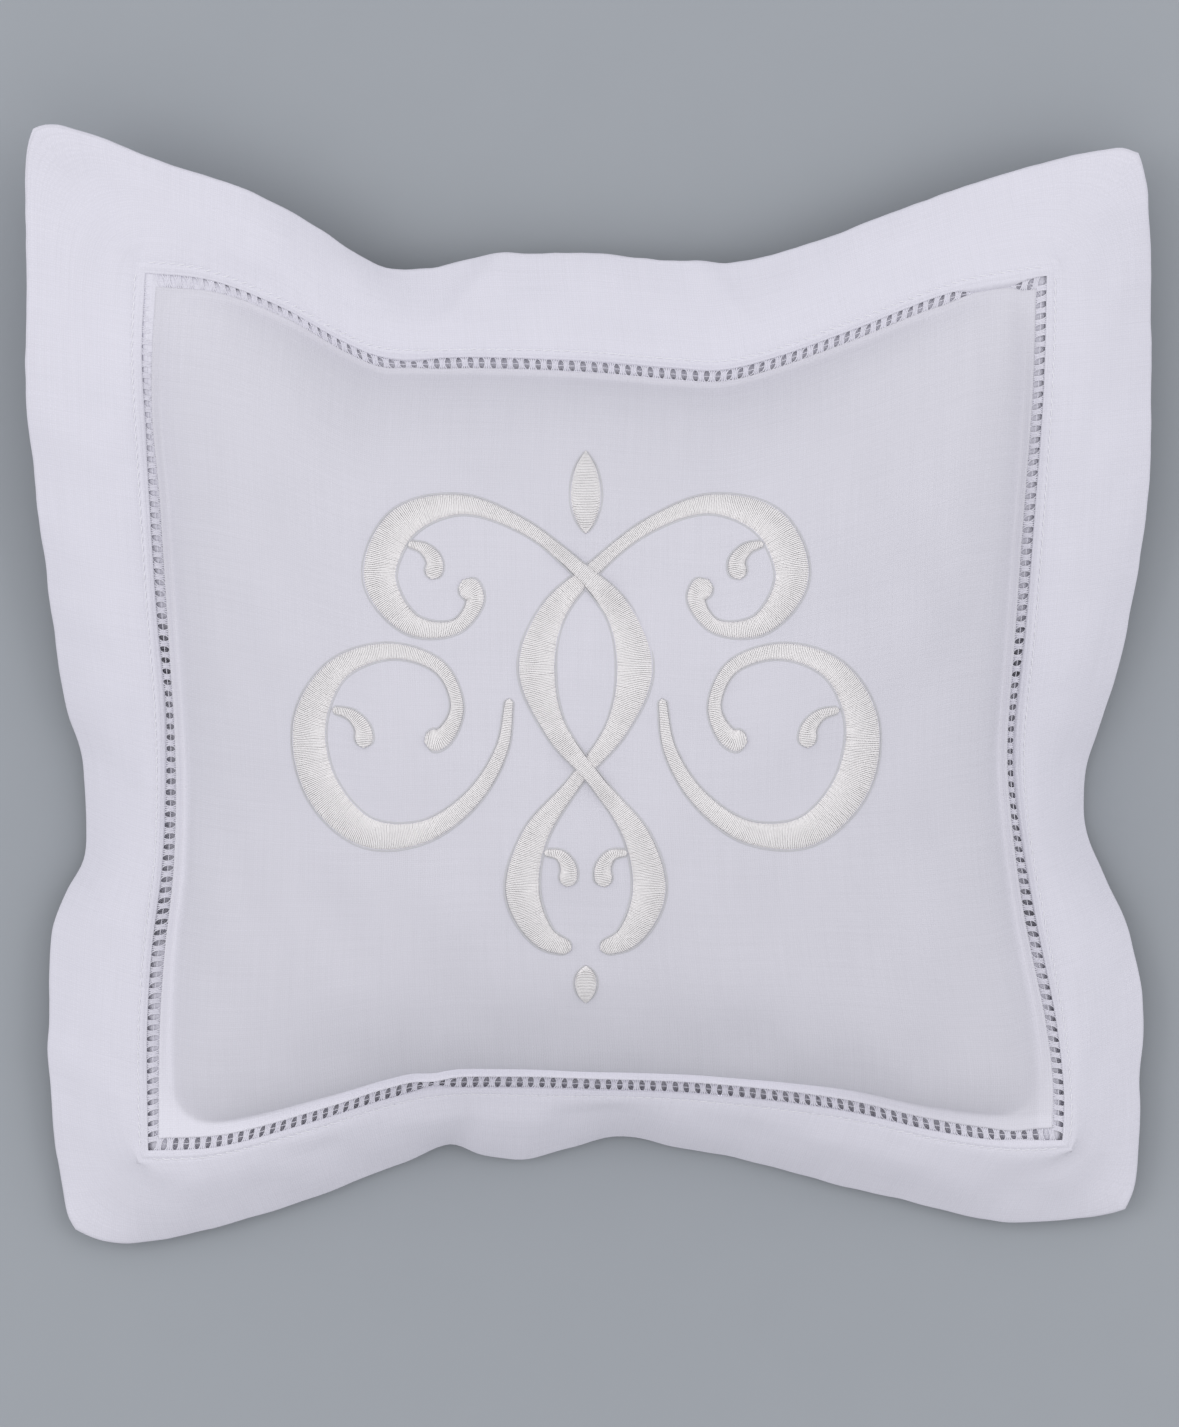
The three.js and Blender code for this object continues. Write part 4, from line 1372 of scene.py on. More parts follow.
@dataclass
class Cover:
    """The linen cover: front, hemstitch, flange with its turned hems, and the envelope back.

    Sizes are in millimetres. A widths field holds distances from the hemstitch's middle.
    """

    form: PillowForm
    finishes: Wardrobe
    linen: float = 0.5
    gap: float = 0.3

    # The hemstitch and the seams
    hole_pitch: float = 2.54
    bar_sink: float = 0.26
    corner_gap: float = 1.3
    grain: float = 3.0
    seam_line: float = 3.6
    seam_pitch: float = 2.1
    closure_pitch: float = 2.6
    seam_thread: float = 0.17
    closure_sink: float = 0.08

    # The front and its simulation
    front_cells: int = 86
    puckers_at: tuple[float, float] = (15.0, 11.0)
    puckers_height: tuple[float, float] = (0.26, 0.36)
    puff_limit: float = 3.0
    pressure: float = 4.0
    frames: int = 20
    held_beyond_strip: float = 0.004

    # The flange, its outer fold and its turned hems
    flange_stations: int = 176
    seam_relief: float = 0.16
    seam_ridge: tuple[float, float] = (2.6, 0.45)
    seam_groove_reach: float = 0.4
    waves_from: tuple[float, float] = (5.0, 13.0)
    near_widths: tuple[float, ...] = (
        1.6, 1.9, 2.2, 2.5, 2.8, 3.1, 3.35, 3.6, 3.85, 4.2, 4.8, 5.6, 6.6)
    fold_radius: float = 0.65
    fold_oval: float = 1.25
    fold_turn_deg: tuple[float, float] = (72.0, -90.0)
    fold_tuck: float = 1.2
    hem_widths: tuple[float, ...] = (1.9, 2.4, 3.0, 3.6, 4.4, 6.0)
    hem_trim: float = 0.0022

    # The back: where its wrinkles are free, its hems' edges and their rows of stitches
    free_above: tuple[float, float] = (1.0, 8.0)
    free_inside: tuple[float, float] = (9.0, 26.0)
    wrinkle_rise: float = 0.35
    hem_ends: tuple[float, float] = (0.05, 0.95)
    closure_hems: tuple[float, float] = (0.38, 0.48)
    closure_rows: tuple[float, float] = (0.374, 0.486)
    closure_ends: tuple[float, float] = (0.055, 0.945)
    tuck_starts: tuple[float, float] = (-0.045, -0.01)

    # The front's finished face, once it is made
    front_grid: Array = field(init=False)

    # ------------------------------------------------ surface shaping

    def flange_lift(self, x: Array, y: Array, m: Array) -> Array:
        """How far the flange's cloth stands off the plain curve: ridge, seam line, creases, ripples."""
        ridge = self.seam_relief * bell(m, *self.seam_ridge)
        groove = self.seam_relief * bell(m, self.seam_line, self.seam_groove_reach)
        soft = sum(ripples(x, y) for ripples in FLANGE_RIPPLES)
        creases = sum(crease(x, y) for crease in FLANGE_CREASES)
        return ridge - groove + smoothstep(m, *self.waves_from) * (soft + creases)

    def flange_points(self, side: Side, t: Array, m: Array, lift: float = 0.0) -> tuple[Array, Array]:
        """The flange's face and its normals on a grid of places.

        Args:
            side: The side of the panel.
            t: Shares along the side, one for each row.
            m: Distances from the hemstitch, one for each column.
            lift: Added height over the face.

        Returns:
            The points and their normals.
        """
        t2, m2 = np.meshgrid(t, m, indexing="ij")
        inner = self.form.half_hemstitch(side, t)[:, None]
        start = self.form.hemstitch / 2
        reach = np.where(m2 <= start + 1e-6, inner, m2)
        plain = self.form.border(side, t2, reach)
        normals = self._border_normals(side, t2, reach)
        points = plain + normals * (self.flange_lift(plain[..., 0], plain[..., 1], m2) + lift)[..., None]
        return points, normals

    def _border_normals(self, side: Side, t: Array, m: Array) -> Array:
        """Unit normals of the border at places t, m."""
        step_t, step_m = 0.004, 0.5
        low, high = np.clip(t - step_t, 0, 1), np.clip(t + step_t, 0, 1)
        along = self.form.border(side, high, m) - self.form.border(side, low, m)
        across = self.form.border(side, t, m + step_m) - self.form.border(side, t, m - step_m)
        normals = unit(np.cross(along, across))
        return np.where(normals[..., 2:] < 0, -normals, normals)

    # ------------------------------------------------ front

    def make_front(self) -> None:
        """The front over the stuffing, filled out by a cloth simulation."""
        coarse = shares_towards_edges(self.front_cells)
        fine = shares_towards_edges(2 * self.front_cells)
        start = self.form.front(coarse, coarse)
        puff = self.simulated_puff(start, coarse)
        grid = self.form.front(fine, fine) + doubled(doubled(puff).swapaxes(0, 1)).swapaxes(0, 1)
        x, y = grid[..., 0], grid[..., 1]
        strength = self.form.front_fullness(fine, fine)
        from_edge = np.minimum(np.minimum(fine, 1 - fine)[None, :], fine[:, None]) * self.form.panel
        everywhere, beside_seam = self.puckers_height
        height = everywhere + beside_seam * bell(from_edge, *self.puckers_at)
        soft = FRONT_RIPPLES(x, y) + FRONT_PUCKERS(x, y) * height
        self.front_grid = grid + surface_normals(grid) * (soft * strength)[..., None]
        inner = self.front_grid - surface_normals(self.front_grid) * self.linen
        flat = np.stack(np.meshgrid(fine * self.form.panel, fine * self.form.panel), axis=-1)
        mesh = cloth_mesh(self.front_grid, inner, flat)
        piece = finished("front_cover", mesh, self.finishes.front_linen, ["front_panel"])

    def simulated_puff(self, start: Array, shares: Array) -> Array:
        """Blow the front out as stuffed cloth, held along its strip.

        Args:
            start: The front's points before it is blown out.
            shares: The shares across and up that they stand at.

        Returns:
            How far each point moves, in millimetres.
        """
        count = len(shares)
        mesh = bpy.data.meshes.new("front_trial")
        faces = quads_between(count, count, False)
        mesh.from_pydata((start.reshape(-1, 3) * MM).tolist(), [], faces.tolist())
        trial = placed("front_trial", mesh)
        scene = bpy.context.scene
        strip = max(self.form.front_strip.values()) + self.held_beyond_strip
        held = np.minimum(shares, 1 - shares) <= strip
        pins = trial.vertex_groups.new(name="held")
        pins.add(np.flatnonzero((held[:, None] | held[None, :]).ravel()).tolist(), 1.0, "REPLACE")
        cloth = trial.modifiers.new("cloth", "CLOTH")
        settings = cloth.settings
        settings.vertex_group_mass = pins.name
        settings.quality = 6
        settings.mass = 0.2
        settings.tension_stiffness = settings.compression_stiffness = 40
        settings.shear_stiffness = 20
        settings.bending_stiffness = 0.8
        settings.use_pressure = True
        settings.uniform_pressure_force = self.pressure
        settings.effector_weights.gravity = 0.0
        cloth.collision_settings.use_collision = False
        cloth.point_cache.frame_start, cloth.point_cache.frame_end = 1, self.frames
        for number in range(1, self.frames + 1):
            scene.frame_set(number)
        result = trial.evaluated_get(bpy.context.evaluated_depsgraph_get()).data
        moved = np.empty(count * count * 3)
        result.vertices.foreach_get("co", moved)
        scene.frame_set(1)
        bpy.data.objects.remove(trial)
        shift = moved.reshape(count, count, 3) / MM - start
        size = np.linalg.norm(shift, axis=-1, keepdims=True)
        log.info("the front moved %.1f mm at most before the limit", size.max())
        return shift * np.tanh(size / self.puff_limit) * self.puff_limit / np.maximum(size, 1e-6)

    # ------------------------------------------------ flange

    def make_flange(self) -> None:
        """The flange's face, folded round its edge, and the hem turned back under each side."""
        self._make_flange_face()
        for side in Side:
            self._make_turned_hem(side)

    def _side_shares(self, side: Side, trim: float = 0.0) -> Array:
        """Shares along a side in clockwise order, less a trim at both ends."""
        t = np.linspace(trim, 1 - trim, self.flange_stations + 1)
        return t if side.clockwise else t[::-1]

    def _make_flange_face(self) -> None:
        """One ring of cloth, from the hemstitch over the fold to the underside."""
        flange, start = self.form.flange, self.form.hemstitch / 2
        far = np.linspace(7.8, flange - 1.4, 15)
        widths = np.concatenate([[start], self.near_widths, far, [flange - 0.9]])
        outer_rows, inner_rows, flat_rows = [], [], []
        for side in Side:
            t = self._side_shares(side)[:-1]
            face, normals = self.flange_points(side, t, widths)
            edge, up = self.flange_points(side, t, np.array([flange - self.fold_radius - 0.2]))
            edge, up = edge[:, 0], up[:, 0]
            out = square_to(face[:, -1] - face[:, -3], up)
            around = self._folded(edge, out, up, 0.0, 0.0)
            inside = self._folded(edge, out, up, self.linen, self.linen * 0.9)
            tuck = around[:, -1:] - out[:, None] * self.fold_tuck
            tuck_inside = inside[:, -1:] - out[:, None] * self.fold_tuck
            outer_rows.append(np.concatenate([face, around, tuck], axis=1))
            inner_rows.append(np.concatenate([face - normals * self.linen, inside, tuck_inside], axis=1))
            count = outer_rows[-1].shape[1]
            reach = np.concatenate([widths, flange + np.linspace(0.1, 2.6, count - len(widths))])
            flat_rows.append(self._flat_border(side, t, reach))
        mesh = cloth_mesh(*(np.concatenate(rows) for rows in (outer_rows, inner_rows, flat_rows)), True)
        piece = finished("flange_cloth", mesh, self.finishes.linen, ["flange_face"])

    def _folded(self, edge: Array, out: Array, up: Array, under: float, inside: float) -> Array:
        """The cloth's way round the outer fold.

        Args:
            edge: Points where the fold starts.
            out: Directions out of the flange there.
            up: Directions out of the cloth there.
            under: How far it lies inside the fold's face above and below.
            inside: How far it lies inside the fold's face at the side.

        Returns:
            Points, one row for each place along the edge.
        """
        centre = edge - up * self.fold_radius
        wide = self.fold_radius * self.fold_oval * (1 + FOLD_RIPPLES(edge[:, 0], edge[:, 1])) - inside
        high = self.fold_radius - under
        start, end = (math.radians(angle) for angle in self.fold_turn_deg)
        return np.stack([
            centre + out * (wide * math.cos(turn))[:, None] + up * high * math.sin(turn)
            for turn in np.linspace(start, end, 8)], axis=1)

    def _flat_border(self, side: Side, t: Array, m: Array) -> Array:
        """Where places of the border lie in the flat cloth, with the panel's middle at 0."""
        half = self.form.panel / 2
        t2, m2 = np.meshgrid(t, m, indexing="ij")
        along, out = (2 * t2 - 1) * (half + m2), half + m2
        pairs = {
            Side.TOP: (along, out), Side.RIGHT: (out, along),
            Side.BOTTOM: (along, -out), Side.LEFT: (-out, along),
        }
        return np.stack(pairs[side], axis=-1)

    def _make_turned_hem(self, side: Side) -> None:
        """The hem turned back under one side, with mitred ends."""
        flange = self.form.flange
        t = self._side_shares(side, self.hem_trim)
        widths = np.concatenate([self.hem_widths, np.linspace(8.0, flange - 2.6, 12)])
        upper, normals = self.flange_points(side, t, widths, -(self.linen + self.gap))
        lower = upper - normals * self.linen
        mesh = cloth_mesh(upper, lower, self._flat_border(side, t, widths))
        piece = finished(f"flange_hem_{side.value}", mesh, self.finishes.linen, [f"turned_hem_{side.value}"])

    # ------------------------------------------------ stitches

    def border_path(self, side: Side, m: float, lift: float, step: float, gap: float) -> StitchPath:
        """A stitch path along the border.

        Args:
            side: The side of the panel.
            m: Its distance outside the hemstitch's middle.
            lift: Its height over the cloth.
            step: Distance between its points.
            gap: Distance that it keeps from the corners.

        Returns:
            The path.
        """
        length = self.form.hem[side].length
        count = int(length / step)
        t = np.linspace(gap / length, 1 - gap / length, count)
        across = self.form.border(side, t, m + 0.5) - self.form.border(side, t, m - 0.5)
        across = unit(unit(across) + self.grain * side.outward)
        if m > self.form.hemstitch / 2:
            points, normals = (a[:, 0] for a in self.flange_points(side, t, np.array([m]), lift))
        else:
            normals = self._border_normals(side, t, np.full_like(t, m))
            points = self.form.border(side, t, m) + normals * lift
        along = unit(np.gradient(points, axis=0))
        slant = np.linalg.norm(np.cross(along, across), axis=-1)
        half = self.form.half_hemstitch(side, t) * self.form.fan(t) / slant
        return StitchPath(points, across, normals, half)

    def make_border_stitches(self) -> None:
        """The hemstitch's bars and the seam that joins front and back."""
        ladder = LadderBars("hemstitch_bars", {
            "Pitch": self.hole_pitch * MM, "Bar Half Width": 0.92 * MM, "Pinch": 0.46,
            "Strand Radius": 0.19 * MM, "Edge Radius": 0.17 * MM, "Thread Radius": 0.09 * MM,
        }, self.finishes.drawn)
        row = LockstitchRow("seam_stitches", {
            "Pitch": self.seam_pitch * MM, "Thread Radius": self.seam_thread * MM}, self.finishes.sewing)
        for side in Side:
            path = self.border_path(side, 0.0, -self.bar_sink, 1.0, self.corner_gap)
            finished(f"hemstitch_bars_{side.value}", ladder.sew(path.mesh()), self.finishes.drawn,
                     [f"hemstitch_{side.value}"])
            path = self.border_path(side, self.seam_line, 0.0, 1.0, self.seam_line)
            finished(f"flange_seam_{side.value}", row.sew(path.mesh()), self.finishes.sewing,
                     [f"joining_seam_{side.value}"])

    # ------------------------------------------------ back

    def back_points(self, u: Array, v: Array, lift: Array | float) -> Array:
        """The back's outermost face with soft wrinkles, lifted into the pillow.

        Args:
            u: Shares across.
            v: Shares up.
            lift: How far into the pillow the points are lifted.

        Returns:
            The points, rows up and columns across.
        """
        plain = self.form.back(u, v)
        x, y = plain[..., 0], plain[..., 1]
        inside = np.minimum(np.minimum(u, 1 - u)[None, :], np.minimum(v, 1 - v)[:, None])
        free = smoothstep(plain[..., 2], *self.free_above)
        free = free * smoothstep(inside * self.form.panel, *self.free_inside)
        plain = plain + surface_normals(plain) * ((BACK_RIPPLES(x, y) + self.wrinkle_rise) * free)[..., None]
        plain[..., 2] = np.maximum(plain[..., 2], 0.0)
        rise = np.broadcast_to(np.asarray(lift, dtype=float), plain.shape[:2])
        return plain + surface_normals(plain) * rise[..., None]

    def make_back(self) -> None:
        """The envelope's two flaps, with a stitched hem along each open edge."""
        form, stack = self.form, self.linen + self.gap
        outer, inner = form.outer_flap_edge, form.inner_flap_edge
        across = shares_towards_edges(120)
        outer_rows = outer + (1 - outer) * shares_towards_edges(96, 0.5)
        inner_rows = inner * shares_towards_edges(84, 0.5)
        tucked = 2 * stack * smoothstep(inner_rows - outer, *self.tuck_starts)[:, None]
        flap = partial(self._back_cloth, held="stretched", u=across)
        flap("envelope_outer_flap", "back_flap_outer", v=outer_rows, lift=0.0, flat=(0.213, 0.143))
        flap("envelope_inner_flap", "back_flap_inner", v=inner_rows, lift=tucked, flat=(0.213, 0.113))
        left, right = self.hem_ends
        between_ends = across[(across > left) & (across < right)]
        clear = self.gap / form.panel
        outer_end, inner_start = self.closure_hems
        outer_hem = np.linspace(outer + clear, outer_end, 14)
        inner_hem = np.linspace(inner_start, inner - clear, 14)
        hem = partial(self._back_cloth, held="folded", u=between_ends, flat=(0.192, 0.0125))
        hem("closure_fold_outer", "closure_hem_outer", v=outer_hem, lift=stack)
        hem("closure_fold_inner", "closure_hem_inner", v=inner_hem, lift=3 * stack)
        row = LockstitchRow("closure_stitches", {
            "Pitch": self.closure_pitch * MM, "Thread Radius": self.seam_thread * MM}, self.finishes.sewing)
        for name, place, lift in zip(("outer", "inner"), self.closure_rows, (0.0, 2 * stack)):
            self._closure_stitches(name, row, place, lift)

    def _back_cloth(
        self, name: str, node: str, held: str, u: Array, v: Array, lift: Array | float,
        flat: tuple[float, float],
    ) -> None:
        """One sheet of the back.

        Args:
            name: The piece's name.
            node: The model's node that it stands for.
            held: How the sheet is held; not used.
            u: Shares across.
            v: Shares up.
            lift: How far it lies inside the outermost face.
            flat: The sheet's cut size, in metres; not used.
        """
        lower = self.back_points(u, v, lift)
        upper = self.back_points(u, v, np.asarray(lift) + self.linen)
        places = np.stack(np.meshgrid(u * self.form.panel, v * self.form.panel), axis=-1)
        piece = finished(name, cloth_mesh(upper, lower, places), self.finishes.linen, [node])

    def _closure_stitches(self, name: str, row: StitchTree, v: float, lift: float) -> None:
        """A row of lockstitch along one closure hem, seen on the flap's outside."""
        u = np.linspace(*self.closure_ends, 190)
        grid = self.back_points(u, np.array([v - 0.004, v, v + 0.004]), lift)
        normals = -surface_normals(grid)[1]
        sunk = grid[1] - normals * self.closure_sink
        path = StitchPath(sunk, unit(grid[2] - grid[0]), normals, np.ones(len(u)))
        finished(f"closure_stitches_{name}", row.sew(path.mesh()), self.finishes.sewing)


def doubled(grid: Array) -> Array:
    """A grid with a smooth point put between every two rows."""
    padded = np.concatenate([2 * grid[:1] - grid[1:2], grid, 2 * grid[-1:] - grid[-2:-1]])
    between = (9 * (padded[1:-2] + padded[2:-1]) - padded[:-3] - padded[3:]) / 16
    result = np.empty((2 * len(grid) - 1, *grid.shape[1:]))
    result[0::2], result[1::2] = grid, between
    return result


# ---------------------------------------------------------------- the insert


@dataclass
class Insert:
    """The loose muslin insert: two panels sewn round the edge, stuffed with fibre.

    Sizes are in millimetres, and shares are of the cover's width.
    """

    cover: Cover
    finishes: Wardrobe
    muslin: float = 0.4
    slack: float = 2.0
    corner_pull: float = 0.18
    cut_size: float = 200.0
    panel_share: float = 0.955
    seam_share: float = 0.95
    seam_width_share: float = 0.008
    seam_size: tuple[float, float] = (780.0, 1.6)
    fill_share: float = 0.935
    lump_rise: float = 0.35
    lines: int = 96
    back_grid: Array = field(init=False)

    def _half(self, is_front: bool, size: float, depth: float) -> Array:
        """Points of one half.

        Args:
            is_front: Whether it is the front half.
            size: Its width as a share of the cover's.
            depth: How far inside the case's outer face it lies.

        Returns:
            A grid of points.
        """
        s = 2 * shares_towards_edges(self.lines, 0.6) - 1
        a, b = np.meshgrid(s, s)
        form, cover = self.cover.form, self.cover
        scale = 1.0 if is_front else form.panel / (form.panel + 2 * form.back_margin)
        u = 0.5 + 0.5 * size * scale * a * np.sqrt(1 - self.corner_pull * b * b)
        v = 0.5 + 0.5 * size * scale * b * np.sqrt(1 - self.corner_pull * a * a)
        grid = cover.front_grid if is_front else self.back_grid
        normals = surface_normals(grid)
        shares = shares_towards_edges(len(grid) - 1)
        place, lean = sampled(grid, shares, u, v), unit(sampled(normals, shares, u, v))
        if is_front:
            return place - lean * (cover.linen + self.slack + depth)
        return place + lean * (3 * (cover.linen + cover.gap) + cover.linen + self.slack + depth)

    def make(self) -> None:
        """The case's two panels, its edge seam and the fibre inside."""
        fine = shares_towards_edges(120)
        self.back_grid = self.cover.back_points(fine, fine, 0.0)
        line = np.linspace(0, self.cut_size, self.lines + 1)
        flat = np.stack(np.meshgrid(line, line), axis=-1)
        for name, is_front in (("front", True), ("back", False)):
            outer = self._half(is_front, self.panel_share, 0.0)
            inner = self._half(is_front, self.panel_share, self.muslin)
            piece = finished(f"insert_{name}", cloth_mesh(outer, inner, flat), self.finishes.muslin,
                             [f"insert_case_{name}"])
        self._make_fibre()
        self._make_seam()

    def _make_fibre(self) -> None:
        """Fibre that fills the case, lumpy under the muslin."""
        inside = self.muslin + 2 * self.cover.gap
        front, back = (self._half(is_front, self.fill_share, inside) for is_front in (True, False))
        lumps = self.lump_rise + FIBRE_LUMPS(front[..., 0], front[..., 1])
        front = front - surface_normals(front) * lumps[..., None]
        back = back + surface_normals(back) * lumps[..., None]
        flat = np.zeros((*front.shape[:2], 2))
        mesh = cloth_mesh(front, back, flat)
        piece = finished("insert_fibre", mesh, self.finishes.fibre, ["insert_fill"])

    def _make_seam(self) -> None:
        """The band of muslin where the two panels are sewn together."""
        inside = self.muslin + 2 * self.cover.gap
        rims = []
        for is_front in (True, False):
            for size in (self.seam_share, self.seam_share - self.seam_width_share):
                grid = self._half(is_front, size, inside)
                rims.append(np.concatenate([grid[0, :-1], grid[:-1, -1], grid[-1, :0:-1], grid[:0:-1, 0]]))
        front, back = np.stack(rims[:2], axis=1), np.stack(rims[2:], axis=1)
        length, width = self.seam_size
        along, out = np.meshgrid(np.linspace(0, length, len(front)), [0.0, width], indexing="ij")
        mesh = cloth_mesh(front, back, np.stack([along, out], axis=-1), True)
        finished("insert_edge_seam", mesh, self.finishes.muslin, ["insert_seam"])


def sampled(grid: Array, shares: Array, u: Array, v: Array) -> Array:
    """A grid's points between its lines, at shares u across and v up."""
    numbers = np.arange(len(shares))
    return between_lines(grid, np.interp(v, shares, numbers), np.interp(u, shares, numbers))


# ---------------------------------------------------------------- the embroidery


class Hand(Enum):
    """A band of the motif on the right, or its mirror image on the left."""

    RIGHT = 1
    LEFT = -1


@dataclass(frozen=True)
class Stroke:
    """A band of satin stitch in plan: points x, y and the band's width there, in millimetres.

    over holds shares of the length where the right band and the left one pass over another.
    """

    line: tuple[tuple[float, float, float], ...]
    is_leaf: bool = False
    over: Mapping[Hand, tuple[float, ...]] = field(default_factory=lambda: {Hand.RIGHT: (), Hand.LEFT: ()})


STROKES = {
    "main_scroll": Stroke((
        (3.4, -56, 3.4), (9.4, -53, 5.6), (14, -43, 7.6), (11.4, -30, 6), (2.5, -17.5, 3.2),
        (-7, -5, 5.2), (-10.8, 8, 8.2), (-7.2, 20, 6), (2.5, 30, 3.2), (14, 38.5, 3.2), (28, 43, 4.8),
        (41, 38.5, 7.8), (45.6, 27, 7.8), (38.5, 17, 4.8), (28.5, 16.8, 3.2), (24.4, 22.6, 4.2),
        (27, 26.6, 6.2),
    ), False, {Hand.RIGHT: (0.262,), Hand.LEFT: (0.515,)}),
    "side_scroll": Stroke((
        (16.8, 1, 1.8), (18.5, -10, 2.8), (25, -21, 3.8), (36, -29, 5), (49, -29.5, 7.2), (59, -20, 9),
        (61.5, -6, 8.4), (55, 6.5, 5.4), (43, 11, 3.6), (32, 7.5, 3), (28.4, -1, 3), (31.5, -7.6, 4.4),
        (35.4, -8.8, 6.2),
    )),
    "side_leaf": Stroke(((56.2, -2.4, 1.4), (52, -3.4, 2.6), (49.4, -6.4, 4), (49.2, -10.4, 5))),
    "shoulder_leaf": Stroke(((39.3, 34.5, 1.4), (35.6, 33.4, 2.6), (33.4, 30.6, 3.8), (34, 27, 4.4))),
    "drop_leaf": Stroke(((9.2, -33.3, 1.4), (5.6, -34, 2.6), (3.8, -37, 3.8), (4.2, -41, 4.4))),
}
SINGLE_STROKES = {
    "finial": Stroke(((0, 37, 2), (0, 41, 4.2), (0, 46, 7), (0, 50.5, 5.8), (0, 54, 2)), True),
    "pendant": Stroke(((0, -60, 1.8), (0, -63, 4.4), (0, -66, 5), (0, -69, 1.8)), True),
}


@dataclass
class Embroidery:
    """The interlaced scroll motif in padded satin stitch. Sizes are in millimetres."""

    cover: Cover
    finishes: Wardrobe
    centre: tuple[float, float] = (-1.5, 5.0)
    step: float = 0.6
    pitch: float = 0.38
    height: float = 1.15
    thread_radius: float = 0.20
    outline_outset: float = 0.16
    outline_radius: float = 0.30

    # How far a band is raised where it passes over another, and over which shares of its length
    crossing_raise: float = 0.8
    crossing: tuple[float, float] = (0.018, 0.06)
    outline_raise: float = 0.75

    # A leaf's outline: where it is widest, how blunt it is, and its least width
    leaf_lean: float = 0.85
    leaf_bluntness: float = 0.8
    leaf_point: float = 0.04
    round_end_least: float = 0.02

    # The padding: its columns, and its width, height and floor under the threads
    padding_columns: int = 9
    padding_width: float = 0.97
    padding_height: float = 0.93
    padding_floor: float = -0.35
    surface: BVHTree = field(init=False)
    rows: SatinRow = field(init=False)
    shadow_outline: EdgeShadowCord = field(init=False)

    def make(self) -> None:
        """Every band of the motif."""
        grid = self.cover.front_grid
        count = grid.shape[0]
        quads = quads_between(count, grid.shape[1], False)
        self.surface = BVHTree.FromPolygons(grid.reshape(-1, 3).tolist(), quads.tolist())
        self.rows = SatinRow("satin_rows", {
            "Pitch": self.pitch * MM, "Thread Radius": self.thread_radius * MM,
            "Height": self.height * MM}, self.finishes.satin)
        self.shadow_outline = EdgeShadowCord("satin_edge_shadows", {
            "Outset": self.outline_outset * MM, "Lift": -self.outline_outset * MM,
            "Thread Radius": self.outline_radius * MM}, self.finishes.edge_shadow)
        for name, stroke in STROKES.items():
            for hand in Hand:
                self._make_band(f"{name}_{hand.name.lower()}", stroke, hand)
        for name, stroke in SINGLE_STROKES.items():
            self._make_band(name, stroke, Hand.RIGHT)

    def _height(self, x: Array, y: Array) -> Array:
        """Height of the front at places in plan."""
        found = []
        for px, py in zip(x.ravel(), y.ravel()):
            hit = self.surface.ray_cast(Vector((px, py, 200.0)), Vector((0.0, 0.0, -1.0)))[0]
            found.append(hit.z)
        return np.array(found).reshape(x.shape)

    def _on_front(self, x: Array, y: Array, reach: float = 2.0) -> tuple[Array, Array]:
        """Points of the front at places in plan and its smoothed normals there."""
        z = self._height(x, y)
        slope_x = (self._height(x + reach, y) - self._height(x - reach, y)) / (2 * reach)
        slope_y = (self._height(x, y + reach) - self._height(x, y - reach)) / (2 * reach)
        return np.stack([x, y, z], axis=-1), unit(np.stack([-slope_x, -slope_y, np.ones_like(z)], axis=-1))

    def _half_width(self, stroke: Stroke, line: Line, t: Array) -> Array:
        """Half of a band's width at shares of its length, with pointed or rounded ends."""
        half = line.at(t)[:, 2] / 2
        if stroke.is_leaf:
            shape = np.maximum(np.sin(math.pi * t ** self.leaf_lean), self.leaf_point)
            return half.max() * shape ** self.leaf_bluntness
        for from_end, end in ((t, 0), (1 - t, -1)):
            share = np.clip(from_end * line.length / half[end], 0.0, 1.0)
            half = half * np.sqrt(np.maximum(1 - (1 - share) ** 2, self.round_end_least))
        return half

    def _make_band(self, name: str, stroke: Stroke, hand: Hand) -> None:
        """One band: padding, satin threads over it, and the dark cord along its edges that paints its shadow.

        Args:
            name: The name of the band's node.
            stroke: The band in plan.
            hand: Whether it is the right band or its mirror image.
        """
        line = Line([(x * hand.value, y, width) for x, y, width in stroke.line])
        count = max(24, int(line.length / self.step))
        t = np.linspace(0, 1, count)
        plan, half = line.at(t), self._half_width(stroke, line, t)
        along = unit(np.gradient(plan[:, :2], axis=0))
        side = np.stack([-along[:, 1], along[:, 0], np.zeros(count)], axis=-1)
        raised = np.zeros(count)
        for share in stroke.over[hand]:
            beside = smoothstep(np.abs(t - share), *self.crossing)
            raised = np.maximum(raised, self.crossing_raise * (1 - beside))
        points, up = self._on_front(plan[:, 0] + self.centre[0], plan[:, 1] + self.centre[1])
        points = points + up * raised[:, None]
        across = square_to(side, up)
        path = StitchPath(points, across, up, half)
        mesh = self.rows.sew(path.mesh(self._padding(path)))
        finished(f"satin_{name}", mesh, self.finishes.satin, [name])
        # Dark cords along both edges: painted shadow of the band on the linen.
        flush = StitchPath(points - up * raised[:, None] * self.outline_raise, across, up, half)
        finished(f"edge_{name}", self.shadow_outline.sew(flush.mesh()), self.finishes.edge_shadow)

    def _padding(self, path: StitchPath) -> tuple[Array, Array]:
        """The stuffed core under a path's threads, as points and quads."""
        s, arch = np.linspace(-1, 1, self.padding_columns), SatinRow.ARCH
        high = np.outer(arch.height(self.height, path.half_width), arch.at(s)) * self.padding_height
        wide = np.outer(path.half_width * self.padding_width, s)
        flat = path.points[:, None] + path.across[:, None] * wide[..., None]
        upper = flat + path.up[:, None] * high[..., None]
        lower = flat + path.up[:, None] * self.padding_floor
        quads = closed_quads(*wide.shape)
        both = np.concatenate([upper.reshape(-1, 3), lower.reshape(-1, 3)])
        return both, quads if signed_volume(both, quads) > 0 else quads[:, ::-1]


# ---------------------------------------------------------------- studio


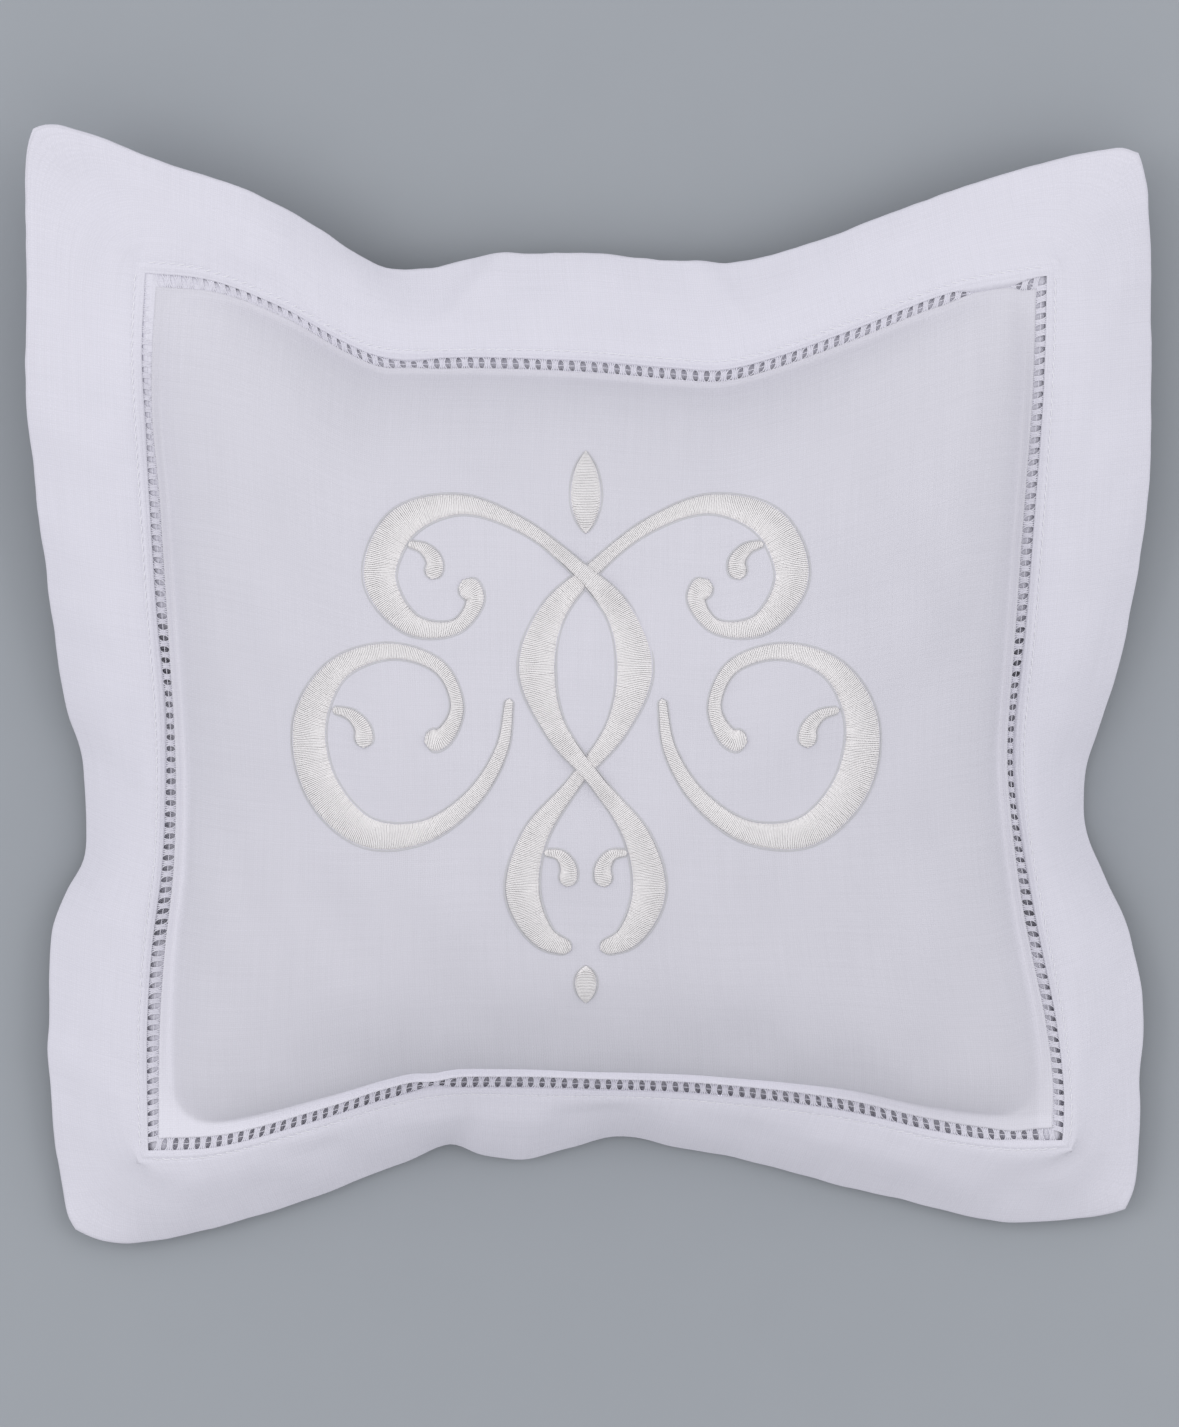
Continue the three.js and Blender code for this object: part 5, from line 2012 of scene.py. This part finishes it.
@dataclass
class Studio:
    """A plain pale floor, soft light from both sides and the top, and the camera. Sizes are in metres."""

    floor_radius: float = 2.2
    aim: tuple[float, float, float] = (-0.00067, -0.00603, 0.0)
    distance: float = 1.15
    tilt_deg: float = 8.0
    lens_mm: float = 124.35
    ambient: float = 0.755
    light_height: float = 0.9
    light_size: float = 1.0
    left_watts: float = 6.2
    right_watts: float = 5.2
    top_watts: float = 1.0

    def make(self) -> None:
        """Floor, lights and camera."""
        self._make_floor()
        self._make_lights()
        self._make_camera()

    def _make_floor(self) -> None:
        """A round sheet of paper under the pillow."""
        mesh = bpy.data.meshes.new("studio_floor")
        turns = np.linspace(0, 2 * math.pi, 96, endpoint=False)
        rim = [(self.floor_radius * math.cos(a), self.floor_radius * math.sin(a), 0.0) for a in turns]
        mesh.from_pydata(rim, [], [list(range(len(rim)))])
        mesh.materials.append(StudioPaper().material)
        placed("studio_floor", mesh)

    def _make_lights(self) -> None:
        """Even light all round, and three large soft lights."""
        scene = bpy.context.scene
        world = bpy.data.worlds.new("studio_air")
        world.use_nodes = True
        graph = Graph(world.node_tree)
        glow = graph.add("ShaderNodeBackground", None, {
            "Color": (0.97, 0.98, 1.0, 1.0), "Strength": self.ambient})
        graph.add("ShaderNodeOutputWorld", None, {"Surface": glow["Background"]})
        scene.world = world
        self._area("left", (-1.2, 0.3, self.light_height), self.left_watts)
        self._area("right", (1.2, 0.3, self.light_height), self.right_watts)
        self._area("top", (0.0, 1.2, self.light_height), self.top_watts)
        scene.view_settings.view_transform = "Standard"

    def _area(self, name: str, place: tuple[float, float, float], watts: float) -> None:
        """A square light that faces the pillow."""
        light = bpy.data.lights.new(name, "AREA")
        light.size = self.light_size
        light.energy = watts
        lamp = placed(name, light)
        lamp.location = place
        lamp.rotation_euler = (-Vector(place)).to_track_quat("-Z", "Y").to_euler()

    def _make_camera(self) -> None:
        """A long lens, nearly straight above."""
        tilt = math.radians(self.tilt_deg)
        data = bpy.data.cameras.new("camera")
        data.lens = self.lens_mm
        camera = placed("camera", data)
        camera.location = Vector(self.aim) + self.distance * Vector((0.0, math.sin(tilt), math.cos(tilt)))
        camera.rotation_euler = (-tilt, 0.0, 0.0)
        bpy.context.scene.camera = camera


def main() -> None:
    """Build the pillow from its inside out, then the studio round it."""
    form, finishes = PillowForm(), Wardrobe()
    cover = Cover(form, finishes)
    cover.make_front()
    cover.make_flange()
    cover.make_border_stitches()
    cover.make_back()
    Insert(cover, finishes).make()
    Embroidery(cover, finishes).make()
    Studio().make()


if __name__ == "__main__":
    logging.basicConfig(level=logging.INFO, format="%(message)s")
    main()
